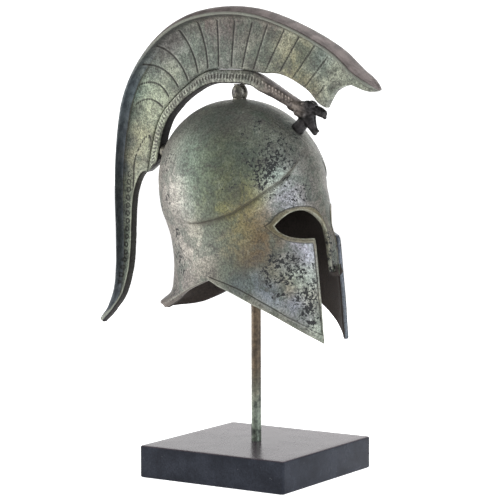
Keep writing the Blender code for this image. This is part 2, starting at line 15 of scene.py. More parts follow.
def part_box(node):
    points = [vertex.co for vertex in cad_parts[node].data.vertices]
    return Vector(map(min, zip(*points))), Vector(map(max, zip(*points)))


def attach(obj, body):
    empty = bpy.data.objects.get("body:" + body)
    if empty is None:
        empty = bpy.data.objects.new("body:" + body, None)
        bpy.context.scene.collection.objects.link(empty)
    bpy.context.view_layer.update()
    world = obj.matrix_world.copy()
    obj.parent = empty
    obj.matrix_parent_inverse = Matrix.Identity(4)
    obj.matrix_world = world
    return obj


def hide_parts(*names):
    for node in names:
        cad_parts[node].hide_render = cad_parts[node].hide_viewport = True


bl_info = {
    "name": "Crested bronze helmet",
    "version": (1, 0, 0),
    "blender": (4, 5, 0),
    "location": "3D View > Sidebar > Helmet",
    "description": "Builds a crested bronze helmet with patina on a stone stand",
    "category": "Add Mesh",
}

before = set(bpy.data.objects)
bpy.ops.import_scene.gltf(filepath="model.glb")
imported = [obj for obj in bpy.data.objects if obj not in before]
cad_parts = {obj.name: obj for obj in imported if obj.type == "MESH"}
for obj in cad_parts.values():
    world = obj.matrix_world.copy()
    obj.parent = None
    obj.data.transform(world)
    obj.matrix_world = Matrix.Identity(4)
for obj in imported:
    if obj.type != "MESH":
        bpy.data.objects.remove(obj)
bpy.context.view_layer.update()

# Places read from the frame
SLAB_LOW, SLAB_HIGH = (np.array(corner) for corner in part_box("stand_base"))
ROD_LOW, ROD_HIGH = (np.array(corner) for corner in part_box("stand_rod"))
KNOB_LOW, KNOB_HIGH = (np.array(corner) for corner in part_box("crest_knob"))
PEG_LOW, PEG_HIGH = (np.array(corner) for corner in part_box("rear_peg"))
DOME_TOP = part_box("helmet_bowl")[1].z

# Bowl
BOWL_HEIGHT = 0.210
WIDEST_HEIGHT = 0.134
DOME_BACK = 0.094
DOME_FRONT = 0.065
DOME_HALF_WIDTH = 0.0635
DOME_MIDDLE = 0.014
CROWN_SHIFT = 0.0045
BOWL_WALL = 0.0046
NOSE_HALF_WIDTH = 0.0064
NOSE_ROOT_LEVEL = 0.099
NOSE_TIP_LEVEL = 0.057
CHEEK_HALF_GAP = 0.0204
TIP_LEVEL = DOME_TOP - BOWL_HEIGHT

# Crest plate
CREST_HALF_WIDTH = 0.0135
CREST_CROWN = 0.0056
CREST_RIM = 0.0026
CREST_FILLET = 0.0075
WEB_THICKNESS = 0.009
CREST_FRONT = 0.120
CREST_BACK = 0.147
CREST_RISE = 0.0775
TAIL_DROP = 0.209

# Serpent
BAND_THICKNESS = 0.0145
BAND_DEPTH = 0.0125
BAND_RISE = 0.0135
BAND_FRONT = 0.0085
BAND_BACK = 0.1145

# Bowl sections: level as a share of WIDEST_HEIGHT, shares of the back, front,
# half width and middle, and the front's bluntness
SECTIONS = np.array([
    (-0.060, 0.85, 1.388, 0.819, 0.286, 2.15), (0.157, 1.02, 1.338, 0.850, 0.286, 2.15),
    (0.194, 1.04, 1.331, 0.855, 0.286, 2.15), (0.224, 0.985, 1.323, 0.858, 0.286, 2.15),
    (0.261, 0.91, 1.314, 0.861, 0.286, 2.15), (0.302, 0.875, 1.303, 0.866, 0.286, 2.15),
    (0.381, 0.855, 1.285, 0.866, 0.286, 2.15), (0.463, 0.85, 1.266, 0.866, 0.286, 2.15),
    (0.582, 0.864, 1.238, 0.874, 0.357, 2.15), (0.660, 0.885, 1.215, 0.898, 0.429, 2.10),
    (0.739, 0.926, 1.169, 0.929, 0.536, 1.95), (0.828, 0.973, 1.115, 0.969, 0.714, 1.85),
    (0.910, 0.993, 1.062, 0.992, 0.857, 1.90), (1.000, 1.00, 1.000, 1.000, 1.000, 2.00),
])

# Outlines on the bowl: angle in degrees from the nose, level as a share of WIDEST_HEIGHT
NECK_RIM = np.array([(180.0, 0.186), (160.0, 0.186), (147.0, 0.196), (134.0, 0.255),
                     (115.6, 0.331), (98.0, 0.396)])
CHEEK_RIM = np.array([(98.0, 0.396), (83.0, 0.320), (71.0, 0.254), (59.0, 0.190), (47.0, 0.122),
                      (33.0, 0.054), (20.0, 0.0)])
EYE_TOP = np.array([(48.0, 0.760), (40.6, 0.812), (31.2, 0.853), (23.2, 0.860), (16.7, 0.840),
                    (11.0, 0.800), (7.2, 0.760)])
EYE_BOTTOM = np.array([(48.0, 0.760), (46.6, 0.728), (41.4, 0.696), (33.4, 0.681), (20.0, 0.678)])

# Crest outlines in the plane X = 0, as shares of CREST_FRONT or CREST_BACK and of
# CREST_RISE or TAIL_DROP, from the dome's top
CREST_EDGE = np.array([
    (-1.044, 0.105), (-0.995, 0.165), (-0.885, 0.276), (-0.742, 0.472), (-0.515, 0.682),
    (-0.280, 0.842), (-0.060, 0.948), (0.160, 0.992), (0.325, 0.972), (0.469, 0.908),
    (0.567, 0.828), (0.695, 0.660), (0.786, 0.484), (0.855, 0.305), (0.905, 0.124),
    (0.940, -0.022), (0.961, -0.093), (0.975, -0.164), (0.988, -0.260), (0.995, -0.420),
    (0.993, -0.605), (1.000, -0.738), (1.026, -0.846), (1.085, -0.928), (1.160, -0.985),
])
CREST_NOSE = np.array([
    (-1.033, 0.086), (-0.985, 0.081), (-0.940, 0.092), (-0.885, 0.120), (-0.815, 0.155),
    (-0.740, 0.130), (-0.680, 0.072), (-0.648, 0.005), (-0.614, -0.095),
])
CREST_BELLY = np.array([
    (-0.614, -0.095), (-0.570, -0.062), (-0.473, 0.088), (-0.408, 0.155), (-0.311, 0.232),
    (-0.218, 0.283), (-0.145, 0.292), (-0.104, 0.290), (-0.071, 0.2916),
])
TAIL_INNER = np.array([
    (0.785, -0.318), (0.824, -0.326), (0.848, -0.345), (0.866, -0.370), (0.886, -0.408),
    (0.901, -0.470), (0.908, -0.560), (0.914, -0.650), (0.926, -0.732), (0.948, -0.798),
    (0.990, -0.874), (1.060, -0.938), (1.146, -0.998),
])
BAND_NARROWING = np.array([(0.0, 1.0), (0.35, 0.98), (0.55, 0.76), (0.75, 0.80), (1.0, 0.86)])
BAND_LINE = np.array([
    (-1.00, -0.25), (0.010, -0.12), (0.100, 0.00), (0.240, 0.045), (0.400, -0.02),
    (0.495, -0.30), (0.590, -0.80), (0.686, -1.40), (0.782, -2.13), (0.860, -2.83),
    (0.912, -3.65), (0.950, -4.65), (0.980, -5.65), (1.000, -6.45),
])


NO_FACES = np.zeros((0, 3), int)


# Curves and grids

def smooth(x, knots, values):
    """Cubic curve through (knots, values) with the slopes of its neighbours."""
    slopes = np.gradient(values, knots)
    x = np.clip(x, knots[0], knots[-1])
    left = np.clip(np.searchsorted(knots, x) - 1, 0, len(knots) - 2)
    step = knots[left + 1] - knots[left]
    t = (x - knots[left]) / step
    start = (1 + 2 * t) * (1 - t) ** 2 * values[left] + t * (1 - t) ** 2 * step * slopes[left]
    end = t * t * (3 - 2 * t) * values[left + 1] + t * t * (t - 1) * step * slopes[left + 1]
    return start + end


def chord_shares(points):
    """Distance along a line of points, as shares of its whole length."""
    chords = np.linalg.norm(np.diff(points, axis=0), axis=1)
    return np.concatenate([[0.0], np.cumsum(chords)]) / chords.sum()


def along(points, places):
    """Points of a smooth curve through the given points, at shares of its length."""
    points = np.asarray(points, float)
    knots = chord_shares(points)
    return np.stack([smooth(places, knots, points[:, k]) for k in range(points.shape[1])], axis=1)


def step_between(low, high, x):
    """Smoothstep: 0 below low, 1 above high, with level ends."""
    t = np.clip((x - low) / (high - low), 0.0, 1.0)
    return t * t * (3.0 - 2.0 * t)


def bump(distance, width):
    """Bell curve: exp(-(distance / width) squared)."""
    return np.exp(-(distance / width) ** 2)


def line_distance(points, line):
    """Distance of flat points to an open line: least over its segments of the
    distance to start + t * run, t clipped to 0..1. Also the share along the line."""
    line = np.asarray(line, float)
    best = np.full(points.shape[:-1], np.inf)
    place = np.zeros(points.shape[:-1])
    lengths = np.linalg.norm(np.diff(line, axis=0), axis=1)
    starts = np.concatenate([[0.0], np.cumsum(lengths)])
    for k, start in enumerate(line[:-1]):
        run = line[k + 1] - start
        t = np.clip(((points - start) @ run) / (run @ run), 0.0, 1.0)
        gap = np.linalg.norm(points - (start + t[..., None] * run), axis=-1)
        nearer = gap < best
        best = np.where(nearer, gap, best)
        place = np.where(nearer, (starts[k] + t * lengths[k]) / starts[-1], place)
    return best, place


def waves(points, seed, count, shortest, longest):
    """Even noise from -1 to 1: the sum of plane sine waves whose directions and
    phases are drawn from the seed and whose lengths lie between the two given."""
    draw = np.random.default_rng(seed)
    total = np.zeros(points.shape[:-1])
    for _ in range(count):
        direction = draw.normal(size=3)
        direction /= np.linalg.norm(direction)
        length = shortest * (longest / shortest) ** draw.random()
        phase = draw.random() * 2 * math.pi
        total += np.sin(points @ direction * (2 * math.pi / length) + phase)
    return total / (1.4 * math.sqrt(count))


def grid_quads(rows, columns, first=0, round_rows=False):
    """Corner numbers of the quads of a rows by columns grid, row by row. With
    round_rows the last column joins the first."""
    across = np.arange(columns if round_rows else columns - 1)
    following = (across + 1) % columns
    down = np.arange(rows - 1)[:, None] * columns + first
    quads = np.stack([down + across, down + following, down + columns + following,
                      down + columns + across], axis=-1)
    return quads.reshape(-1, 4)


def weld(points, quads, fields, step=2e-6):
    """Merge points that share a place, and drop quads that lose a side by it.
    A quad with two corners in one place becomes a triangle, as corner 3 = -1."""
    _, kept, number = np.unique(np.round(points / step).astype(np.int64), axis=0,
                                return_index=True, return_inverse=True)
    number = number.reshape(-1)
    quads = number[quads]
    same = quads == np.roll(quads, -1, axis=1)
    sides = 4 - same.sum(axis=1)
    whole = quads[sides == 4]
    narrow = quads[sides == 3]
    turn = np.argmax(same[sides == 3], axis=1)[:, None]
    order = (turn + np.array([1, 2, 3])) % 4
    triangles = np.take_along_axis(narrow, order, axis=1)
    fields = {name: values[kept] for name, values in fields.items()}
    return points[kept], whole, triangles, fields


def face_sums(points, faces, totals):
    """Add to each point the cross product of the diagonals of its faces."""
    corner = points[faces]
    last = corner[:, 3] if faces.shape[1] == 4 else corner[:, 0]
    cross = np.cross(corner[:, 2] - corner[:, 0], last - corner[:, 1])
    for k in range(faces.shape[1]):
        np.add.at(totals, faces[:, k], cross)


def point_normals(points, quads, triangles):
    """Unit normal at each point: the sum over its faces, made one long."""
    totals = np.zeros_like(points)
    face_sums(points, quads, totals)
    if len(triangles):
        face_sums(points, triangles, totals)
    return totals / np.maximum(np.linalg.norm(totals, axis=1), 1e-18)[:, None]


def turned_inside_out(points, quads, triangles):
    """True where the closed mesh's signed volume is below zero."""
    volume = 0.0
    for faces in (quads[:, [0, 1, 2]], quads[:, [0, 2, 3]], triangles):
        if len(faces):
            a, b, c = points[faces[:, 0]], points[faces[:, 1]], points[faces[:, 2]]
            volume += np.einsum("ij,ij->", a, np.cross(b, c))
    return volume < 0


def make_mesh(name, points, quads, triangles, fields, materials, closed=True):
    """Mesh object from whole arrays, with the fields as point attributes."""
    if closed and turned_inside_out(points, quads, triangles):
        quads = quads[:, ::-1]
        triangles = triangles[:, ::-1] if len(triangles) else triangles
    mesh = bpy.data.meshes.new(name)
    corners = np.concatenate([quads.reshape(-1), np.asarray(triangles, int).reshape(-1)])
    sizes = np.concatenate([np.full(len(quads), 4), np.full(len(triangles), 3)])
    starts = np.concatenate([[0], np.cumsum(sizes)[:-1]])
    mesh.vertices.add(len(points))
    mesh.vertices.foreach_set("co", np.asarray(points, np.float32).reshape(-1))
    mesh.loops.add(len(corners))
    mesh.loops.foreach_set("vertex_index", corners.astype(np.int32))
    mesh.polygons.add(len(sizes))
    mesh.polygons.foreach_set("loop_start", starts.astype(np.int32))
    mesh.update(calc_edges=True)
    mesh.validate()
    for label, values in fields.items():
        if values.ndim == 2:
            attribute = mesh.attributes.new(label, "FLOAT_COLOR", "POINT")
            colours = np.ones((len(values), 4), np.float32)
            colours[:, :3] = values
            attribute.data.foreach_set("color", colours.reshape(-1))
        else:
            attribute = mesh.attributes.new(label, "FLOAT", "POINT")
            attribute.data.foreach_set("value", values.astype(np.float32))
    mesh.shade_smooth()
    for material in materials:
        mesh.materials.append(material)
    item = bpy.data.objects.new(name, mesh)
    bpy.context.scene.collection.objects.link(item)
    return item


def place_piece(item, slot, *nodes):
    """Ride the piece on the one body, in the place of its CAD nodes."""
    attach(item, "root")
    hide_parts(*nodes)
    return item


# Bowl

# The crease round the dome: angle in degrees, millimetres above the cheek tips
CREASE = np.array([(0, 168), (12, 163), (25.3, 151.2), (37.2, 140.1), (47, 133.1), (59.1, 123.1),
                   (71.1, 113.6), (84, 107.5), (99.8, 103.1), (109, 102.5), (124.5, 110.2),
                   (150, 112), (180, 112)], float)
# Inner edges of the raised border: angle in degrees, millimetres above the cheek tips
EYE_BORDER_TOP = np.array([(62, 93), (54.5, 101.5), (49.5, 105), (45.5, 110), (42, 113), (36.5, 116),
                           (29.5, 118), (24, 118.3), (18, 118), (13, 116), (9.5, 112), (6.6, 107),
                           (4.6, 102), (3.9, 95), (3.9, 60)], float)
EYE_BORDER_LOW = np.array([(62, 107), (54.5, 101.5), (52.5, 98), (50.5, 95), (47.5, 92), (43.5, 89.2),
                           (38.5, 87.8), (33.5, 87), (28, 86.8), (15, 86.6)], float)
CHEEK_BORDER_FRONT = np.array([(22.6, 110), (22.6, 60), (22.7, -10)], float)
CHEEK_BORDER_LOW = np.array([(10, -0.5), (22.5, 7.5), (29, 10.8), (36.5, 16), (47.5, 23), (56, 30),
                             (64.5, 36.5), (69, 40.2), (78.5, 47), (90, 53), (98, 56)], float)
MM_PER_DEGREE = 1.13
NOSE_COLUMNS = 6
ARCH_COLUMNS = 48
REAR_COLUMNS = 98
CROWN_ROWS = 62
BROW_ROWS = 26
CHEEK_ROWS = 56
NOSE_ROWS = 34


def bowl_point(angle, level):
    """Outer surface of the bowl. At each level x = -half * |sin a| ** p and
    y = middle + back * |cos a| behind, or middle - front * |cos a| ** p before,
    with p = 2 / bluntness. Over the widest level all of them shrink by the square
    root of 1 - rise squared. Angle in radians, level in metres over the cheek tips."""
    angle, level = np.broadcast_arrays(np.asarray(angle, float), np.asarray(level, float))
    columns = [smooth(level / WIDEST_HEIGHT, SECTIONS[:, 0], SECTIONS[:, k]) for k in range(1, 6)]
    rise = np.clip((level - WIDEST_HEIGHT) / (BOWL_HEIGHT - WIDEST_HEIGHT), 0.0, 1.0)
    shrink = np.sqrt(1.0 - rise * rise)
    middle = columns[3] * DOME_MIDDLE
    back = (columns[0] * DOME_BACK - middle) * shrink
    front = (columns[1] * DOME_FRONT + middle) * shrink
    half = columns[2] * DOME_HALF_WIDTH * shrink
    facing = np.cos(angle)
    side = np.abs(np.sin(angle))
    power = np.where(facing > 0, 2.0 / columns[4], 1.0)
    reach = np.where(facing > 0, -front * np.abs(facing) ** power, back * np.abs(facing))
    x = -half * side ** power
    y = middle + CROWN_SHIFT * rise + reach
    return np.stack([x, y, TIP_LEVEL + level], axis=-1)


def half_width_angle(half_width, level):
    """Angle at which the bowl's front is this far from the middle plane: the
    arcsine of (half width / reach) raised to half the bluntness."""
    row = level / WIDEST_HEIGHT
    half = smooth(row, SECTIONS[:, 0], SECTIONS[:, 3]) * DOME_HALF_WIDTH
    power = smooth(row, SECTIONS[:, 0], SECTIONS[:, 5]) / 2.0
    return np.arcsin(np.clip((half_width / half) ** power, 0.0, 1.0))


def outline(table, places):
    """Points of an outline drawn on the bowl, as angle and level, at shares of its length."""
    scaled = np.stack([np.radians(table[:, 0]) * DOME_HALF_WIDTH, table[:, 1] * WIDEST_HEIGHT], axis=1)
    points = along(scaled, places)
    return points[:, 0] / DOME_HALF_WIDTH, points[:, 1]


def level_of(turn):
    """Level reached by turning down from the pole: widest + rise * cos(turn) over
    the widest level, and a straight continuation below it."""
    rise = BOWL_HEIGHT - WIDEST_HEIGHT
    below = WIDEST_HEIGHT - rise * (turn - math.pi / 2)
    return np.where(turn < math.pi / 2, WIDEST_HEIGHT + rise * np.cos(turn), below)


def turn_of(level):
    """The turn from the pole at a level, the reverse of level_of."""
    rise = BOWL_HEIGHT - WIDEST_HEIGHT
    over = np.arccos(np.clip((level - WIDEST_HEIGHT) / rise, 0.0, 1.0))
    return np.where(level > WIDEST_HEIGHT, over, math.pi / 2 - (level - WIDEST_HEIGHT) / rise)


def closer_at_end(count, pull):
    """Shares from 0 to 1 whose steps shrink towards 1: s + pull * s * (1 - s)."""
    s = np.linspace(0.0, 1.0, count)
    return s + pull * s * (1.0 - s)


def closer_at_both(count, pull):
    """Shares from 0 to 1 with small steps at both ends: s - pull * sin(2 pi s) / 2 pi."""
    s = np.linspace(0.0, 1.0, count)
    return s - pull * np.sin(2 * math.pi * s) / (2 * math.pi)


def between(top, bottom, shares):
    """Rows of (angle, turn) blended from one line of points to another."""
    shares = np.asarray(shares)[:, None]
    return top[0] + (bottom[0] - top[0]) * shares, top[1] + (bottom[1] - top[1]) * shares


def rim_level(table, angles):
    return smooth(np.degrees(angles), table[::-1, 0], table[::-1, 1]) * WIDEST_HEIGHT


def bowl_blocks():
    """The right half of the bowl as grids of (angle, turn) that share their edges:
    crown, brow, temple, neck, cheek and nose guard."""
    corner = np.radians(EYE_TOP[0, 0])
    corner_level = EYE_TOP[0, 1] * WIDEST_HEIGHT
    notch = np.radians(CHEEK_RIM[0, 0])
    nose_angle = float(half_width_angle(NOSE_HALF_WIDTH, NOSE_ROOT_LEVEL))

    arch_table = np.vstack([EYE_TOP, (np.degrees(nose_angle), NOSE_ROOT_LEVEL / WIDEST_HEIGHT)])
    arch_angle, arch_level = outline(arch_table, np.linspace(0.0, 1.0, ARCH_COLUMNS + 1))
    nose_top = np.linspace(0.0, nose_angle, NOSE_COLUMNS + 1)
    brow_angle = np.concatenate([nose_top[:-1], arch_angle[::-1]])
    brow_level = np.concatenate([np.full(NOSE_COLUMNS, NOSE_ROOT_LEVEL), arch_level[::-1]])
    brow_top = np.linspace(0.0, corner, NOSE_COLUMNS + ARCH_COLUMNS + 1)

    rear_split = REAR_COLUMNS * 2 // 5
    rear_angles = np.concatenate([np.linspace(corner, notch, rear_split + 1)[:-1],
                                  np.linspace(notch, math.pi, REAR_COLUMNS - rear_split + 1)])
    rear_rim = np.where(rear_angles < notch, rim_level(CHEEK_RIM, rear_angles), rim_level(NECK_RIM, rear_angles))
    fall = step_between(corner, notch + 0.2, rear_angles)
    split = corner_level + (0.072 - corner_level) * fall

    crown_angles = np.concatenate([brow_top, rear_angles[1:]])
    crease = turn_of(smooth(np.degrees(crown_angles), CREASE[:, 0], CREASE[:, 1] / 1000))
    pole = (crown_angles, np.full(len(crown_angles), 0.0))
    crown = between(pole, (crown_angles, crease), closer_at_end(CROWN_ROWS + 1, 0.7))
    brow = between((brow_top, crease[:len(brow_top)]), (brow_angle, turn_of(brow_level)),
                   closer_at_both(BROW_ROWS + 1, 0.55))
    temple = between((rear_angles, crease[len(brow_top) - 1:]), (rear_angles, turn_of(split)),
                     closer_at_both(BROW_ROWS + 1, 0.55))
    downward = closer_at_end(CHEEK_ROWS + 1, 0.72)
    neck = between((rear_angles, turn_of(split)), (rear_angles, turn_of(rear_rim)), downward)

    lid_angle, lid_level = outline(EYE_BOTTOM, closer_at_end(ARCH_COLUMNS + 1, 0.6))
    jaw_level = rim_level(CHEEK_RIM, lid_angle)
    cheek_angle, cheek_turn = between((lid_angle, turn_of(lid_level)), (lid_angle, turn_of(jaw_level)), downward)
    front_angle = half_width_angle(CHEEK_HALF_GAP, level_of(cheek_turn[:, -1:]))
    stretch = (cheek_angle - corner) / (cheek_angle[:, -1:] - corner)
    cheek = (corner + (front_angle - corner) * stretch)[:, ::-1], cheek_turn[:, ::-1]

    drop = np.linspace(0.0, 1.0, NOSE_ROWS + 1)[:, None]
    across = np.linspace(0.0, 1.0, NOSE_COLUMNS + 1)
    nose_level = NOSE_ROOT_LEVEL + (NOSE_TIP_LEVEL - NOSE_ROOT_LEVEL) * np.sin(drop * math.pi / 2) ** 0.9
    swell = 1.0 + 0.10 * np.sin(math.pi * drop) - 0.55 * drop ** 4
    nose_half = half_width_angle(NOSE_HALF_WIDTH * swell, nose_level)
    rounding = 0.0100 * across ** 2 * drop ** 7
    nose = nose_half * across, turn_of(nose_level + rounding)
    return [crown, brow, temple, neck, cheek, nose]


def side_distance(points, line):
    """Signed distance in millimetres to a line of (angle, level), positive on the
    left of its run: the nearest segment gives the distance and the side."""
    scale = np.array([MM_PER_DEGREE, 1.0])
    line = line * scale
    best = np.full(points.shape[:-1], np.inf)
    side = np.zeros(points.shape[:-1])
    for start, end in zip(line[:-1], line[1:]):
        run = end - start
        offset = points * scale - start
        t = np.clip((offset @ run) / (run @ run), 0.0, 1.0)
        gap = np.linalg.norm(offset - t[..., None] * run, axis=-1)
        nearer = gap < best
        best = np.where(nearer, gap, best)
        side = np.where(nearer, np.sign(run[0] * offset[..., 1] - run[1] * offset[..., 0]), side)
    return best * side


def bowl_fields(angle, level):
    """Signed distances in millimetres at each point: border, above 0 on the raised
    border round the eye and cheek, and crease, above 0 over the line round the dome."""
    flat = np.stack([np.degrees(angle), level * 1000], axis=-1)
    arch = side_distance(flat, EYE_BORDER_TOP)
    eye = np.minimum(arch, -side_distance(flat, EYE_BORDER_LOW))
    front = side_distance(flat, CHEEK_BORDER_FRONT[::-1])
    low = -side_distance(flat, CHEEK_BORDER_LOW)
    front = np.where(flat[..., 1] < 94, front, -9.0)
    low = np.where(flat[..., 0] < 99, low, -9.0)
    border = np.maximum(np.maximum(eye, front), low)
    border = np.where(flat[..., 0] < 12, arch, border)
    crease = side_distance(flat, CREASE)
    return border, crease


def bowl_skin():
    """Whole outer skin before relief: points, faces, angle and level at each point."""
    blocks = bowl_blocks()
    points, quads, angles, levels, sides = [], [], [], [], []
    first = 0
    for side in (-1.0, 1.0):
        for angle, turn in blocks:
            angle, turn = np.broadcast_arrays(angle, turn)
            level = level_of(turn)
            grid = bowl_point(angle, level) * (-side, 1.0, 1.0)
            faces = grid_quads(*angle.shape, first=first)
            points.append(grid.reshape(-1, 3))
            quads.append(faces if side > 0 else faces[:, ::-1])
            angles.append(angle.reshape(-1))
            levels.append(level.reshape(-1))
            sides.append(np.full(angle.size, side))
            first += angle.size
    fields = {"angle": np.concatenate(angles), "level": np.concatenate(levels), "side": np.concatenate(sides)}
    return weld(np.concatenate(points), np.concatenate(quads), fields)


def border_edges(quads, triangles):
    """The edges that only one face uses, each in that face's direction."""
    edges = [np.stack([faces[:, k], np.roll(faces, -1, axis=1)[:, k]], axis=1)
             for faces in (quads, triangles) for k in range(faces.shape[1]) if len(faces)]
    edges = np.concatenate(edges)
    _, where, count = np.unique(np.sort(edges, axis=1), axis=0, return_index=True, return_counts=True)
    return edges[where[count == 1]]


def nearest_rim(points, rim):
    """Distance to the nearest of the rim's points, in blocks to spare memory."""
    gaps = [np.sqrt(((part[:, None] - rim) ** 2).sum(-1).min(axis=1)) for part in np.array_split(points, 80)]
    return np.concatenate(gaps)


def bowl_patches(table):
    """Places on the bowl of (angle, height over the floor in mm, ...) rows."""
    return bowl_point(np.radians(table[:, 0]), table[:, 1] / 1000 - TIP_LEVEL)


def spread(points, places, radii, colours, ground, ground_weight=0.12):
    """Colour at each point: the mean of the patch colours weighted by a bell curve
    of distance over each patch's radius, and of the ground colour."""
    total = np.broadcast_to(np.asarray(ground, float) * ground_weight, (len(points), 3)).copy()
    weight = np.full(len(points), ground_weight)
    for place, radius, colour in zip(places, radii, colours):
        share = np.exp(-((points - place) ** 2).sum(axis=1) / radius ** 2)
        total += share[:, None] * np.asarray(colour)
        weight += share
    return total / weight[:, None]


def density(points, places, radii, strengths):
    """Density at each point: the greatest of the places' bell curves."""
    best = np.zeros(len(points))
    for place, radius, strength in zip(places, radii, strengths):
        best = np.maximum(best, strength * np.exp(-((points - place) ** 2).sum(axis=1) / radius ** 2))
    return best


# Patina colours on the bowl's right side: angle, height over the floor and radius in
# mm, then linear red, green and blue. The pale green-white patch at 44 degrees and 262 mm,
# just over the crease, is a painted highlight.
BOWL_TINTS_AND_HIGHLIGHTS = np.array([
    (44, 262, 7, 0.52, 0.58, 0.50), (48, 256, 7, 0.46, 0.48, 0.38), (38, 270, 8, 0.30, 0.36, 0.31),
    (54, 249, 9, 0.26, 0.26, 0.14), (62, 246, 12, 0.23, 0.20, 0.085), (70, 240, 11, 0.225, 0.195, 0.080),
    (80, 237, 14, 0.20, 0.205, 0.080), (92, 238, 11, 0.13, 0.16, 0.115), (66, 262, 15, 0.165, 0.165, 0.070),
    (84, 262, 17, 0.12, 0.145, 0.085), (56, 270, 11, 0.17, 0.20, 0.14), (98, 268, 16, 0.16, 0.215, 0.165),
    (104, 292, 17, 0.15, 0.21, 0.16), (90, 282, 14, 0.12, 0.155, 0.10), (76, 290, 18, 0.115, 0.135, 0.085),
    (60, 286, 13, 0.15, 0.175, 0.13), (112, 258, 13, 0.40, 0.39, 0.34), (118, 246, 11, 0.44, 0.41, 0.36),
    (106, 240, 9, 0.34, 0.36, 0.31), (128, 262, 18, 0.28, 0.25, 0.22), (150, 262, 24, 0.21, 0.19, 0.17),
    (120, 290, 16, 0.20, 0.21, 0.17), (72, 316, 18, 0.060, 0.060, 0.052), (28, 318, 18, 0.085, 0.085, 0.070),
    (100, 310, 16, 0.095, 0.10, 0.080), (140, 308, 20, 0.12, 0.11, 0.10), (50, 302, 14, 0.12, 0.135, 0.10),
    (34, 292, 13, 0.17, 0.19, 0.155), (26, 278, 13, 0.16, 0.16, 0.145), (10, 290, 16, 0.16, 0.15, 0.13),
    (36, 248, 9, 0.31, 0.31, 0.34), (30, 256, 9, 0.23, 0.225, 0.24), (24, 250, 9, 0.20, 0.195, 0.20),
    (14, 258, 12, 0.17, 0.155, 0.14), (12, 240, 10, 0.16, 0.145, 0.125), (44, 243, 7, 0.36, 0.345, 0.345),
    (52, 236, 8, 0.27, 0.22, 0.16), (60, 230, 9, 0.20, 0.145, 0.075), (68, 226, 10, 0.19, 0.155, 0.070),
    (60, 212, 12, 0.13, 0.085, 0.040), (66, 200, 11, 0.12, 0.085, 0.048), (74, 216, 12, 0.20, 0.18, 0.095),
    (84, 222, 12, 0.22, 0.215, 0.13), (92, 230, 9, 0.12, 0.11, 0.090), (76, 200, 13, 0.13, 0.105, 0.060),
    (52, 205, 9, 0.17, 0.14, 0.105), (97, 214, 11, 0.28, 0.30, 0.235), (106, 205, 12, 0.42, 0.39, 0.33),
    (104, 222, 9, 0.30, 0.28, 0.23), (122, 205, 15, 0.29, 0.265, 0.23), (116, 232, 10, 0.17, 0.16, 0.14),
    (130, 232, 16, 0.20, 0.18, 0.155), (150, 205, 22, 0.19, 0.17, 0.15), (100, 188, 11, 0.19, 0.175, 0.145),
    (125, 178, 16, 0.16, 0.14, 0.125), (150, 165, 22, 0.12, 0.105, 0.095), (84, 188, 10, 0.10, 0.12, 0.090),
    (78, 178, 9, 0.075, 0.095, 0.10), (66, 180, 9, 0.13, 0.16, 0.175), (58, 183, 8, 0.19, 0.185, 0.135),
    (46, 198, 9, 0.27, 0.28, 0.26), (28, 202, 9, 0.29, 0.29, 0.33), (36, 208, 7, 0.25, 0.235, 0.27),
    (30, 182, 9, 0.27, 0.29, 0.26), (38, 178, 9, 0.32, 0.36, 0.29), (46, 172, 7, 0.31, 0.26, 0.18),
    (54, 167, 8, 0.24, 0.27, 0.30), (60, 172, 7, 0.17, 0.19, 0.22), (40, 160, 8, 0.26, 0.27, 0.32),
    (33, 166, 7, 0.30, 0.30, 0.24), (28, 156, 8, 0.32, 0.31, 0.25), (34, 150, 7, 0.30, 0.29, 0.32),
    (26, 140, 8, 0.31, 0.34, 0.28), (4, 228, 10, 0.16, 0.14, 0.115), (3, 196, 12, 0.15, 0.14, 0.12),
])
BOWL_GROUND = (0.20, 0.20, 0.165)
# Clusters of corrosion pits: angle, height over the floor and radius in mm, strength
PIT_CLUSTERS = np.array([
    (54, 279, 4, 0.8), (52.5, 269, 4, 0.9), (49, 265, 4, 1.0), (44.5, 273, 5, 0.95), (41.5, 280, 5, 0.95),
    (37, 284, 5, 0.9), (34.5, 281, 5, 0.8), (29.5, 286, 5, 0.75), (46, 253, 3, 0.6), (32, 266, 3, 0.7),
    (36, 272, 4, 0.6), (46, 288, 6, 0.7), (40, 294, 7, 0.65), (30, 298, 8, 0.6), (24, 290, 7, 0.6),
    (25.5, 280, 4, 0.65), (20, 256, 7, 0.55), (28, 250, 6, 0.55), (36, 258, 5, 0.5), (68, 262, 5, 0.5),
    (56, 300, 9, 0.5), (20, 306, 10, 0.55), (42, 310, 10, 0.5),
    (55, 198, 3, 0.9), (51.5, 194, 4, 1.0), (47.5, 195, 4, 1.0), (43, 198, 4, 0.9), (40.5, 195, 4, 0.95),
    (37.5, 192, 4, 0.9), (46, 182, 4, 0.9), (58, 178, 4, 0.8), (52.5, 180, 3, 0.8), (36.5, 186, 4, 0.85),
    (51.5, 168, 4, 0.75), (39, 166, 4, 0.8), (30.5, 166, 5, 0.9), (31.5, 156, 5, 0.9), (31.5, 142, 4, 0.8),
    (26, 176, 4, 0.7), (28, 190, 4, 0.6), (44, 188, 6, 0.8), (36, 152, 5, 0.7), (27, 150, 4, 0.75),
    (60, 188, 4, 0.6), (42, 160, 4, 0.6),
    (128.5, 280, 6, 0.62), (125, 245, 5, 0.62), (126.5, 217, 6, 0.68), (134.5, 200, 6, 0.68),
    (128, 190, 5, 0.70), (125, 183, 4, 0.66), (138.5, 164, 7, 0.58), (145, 230, 9, 0.55), (135, 262, 7, 0.50),
    (6, 214, 5, 0.8), (5, 200, 5, 0.8), (4, 188, 4, 0.7),
])
FAR_TURN = 5.0
FAR_LIFT = -6.0


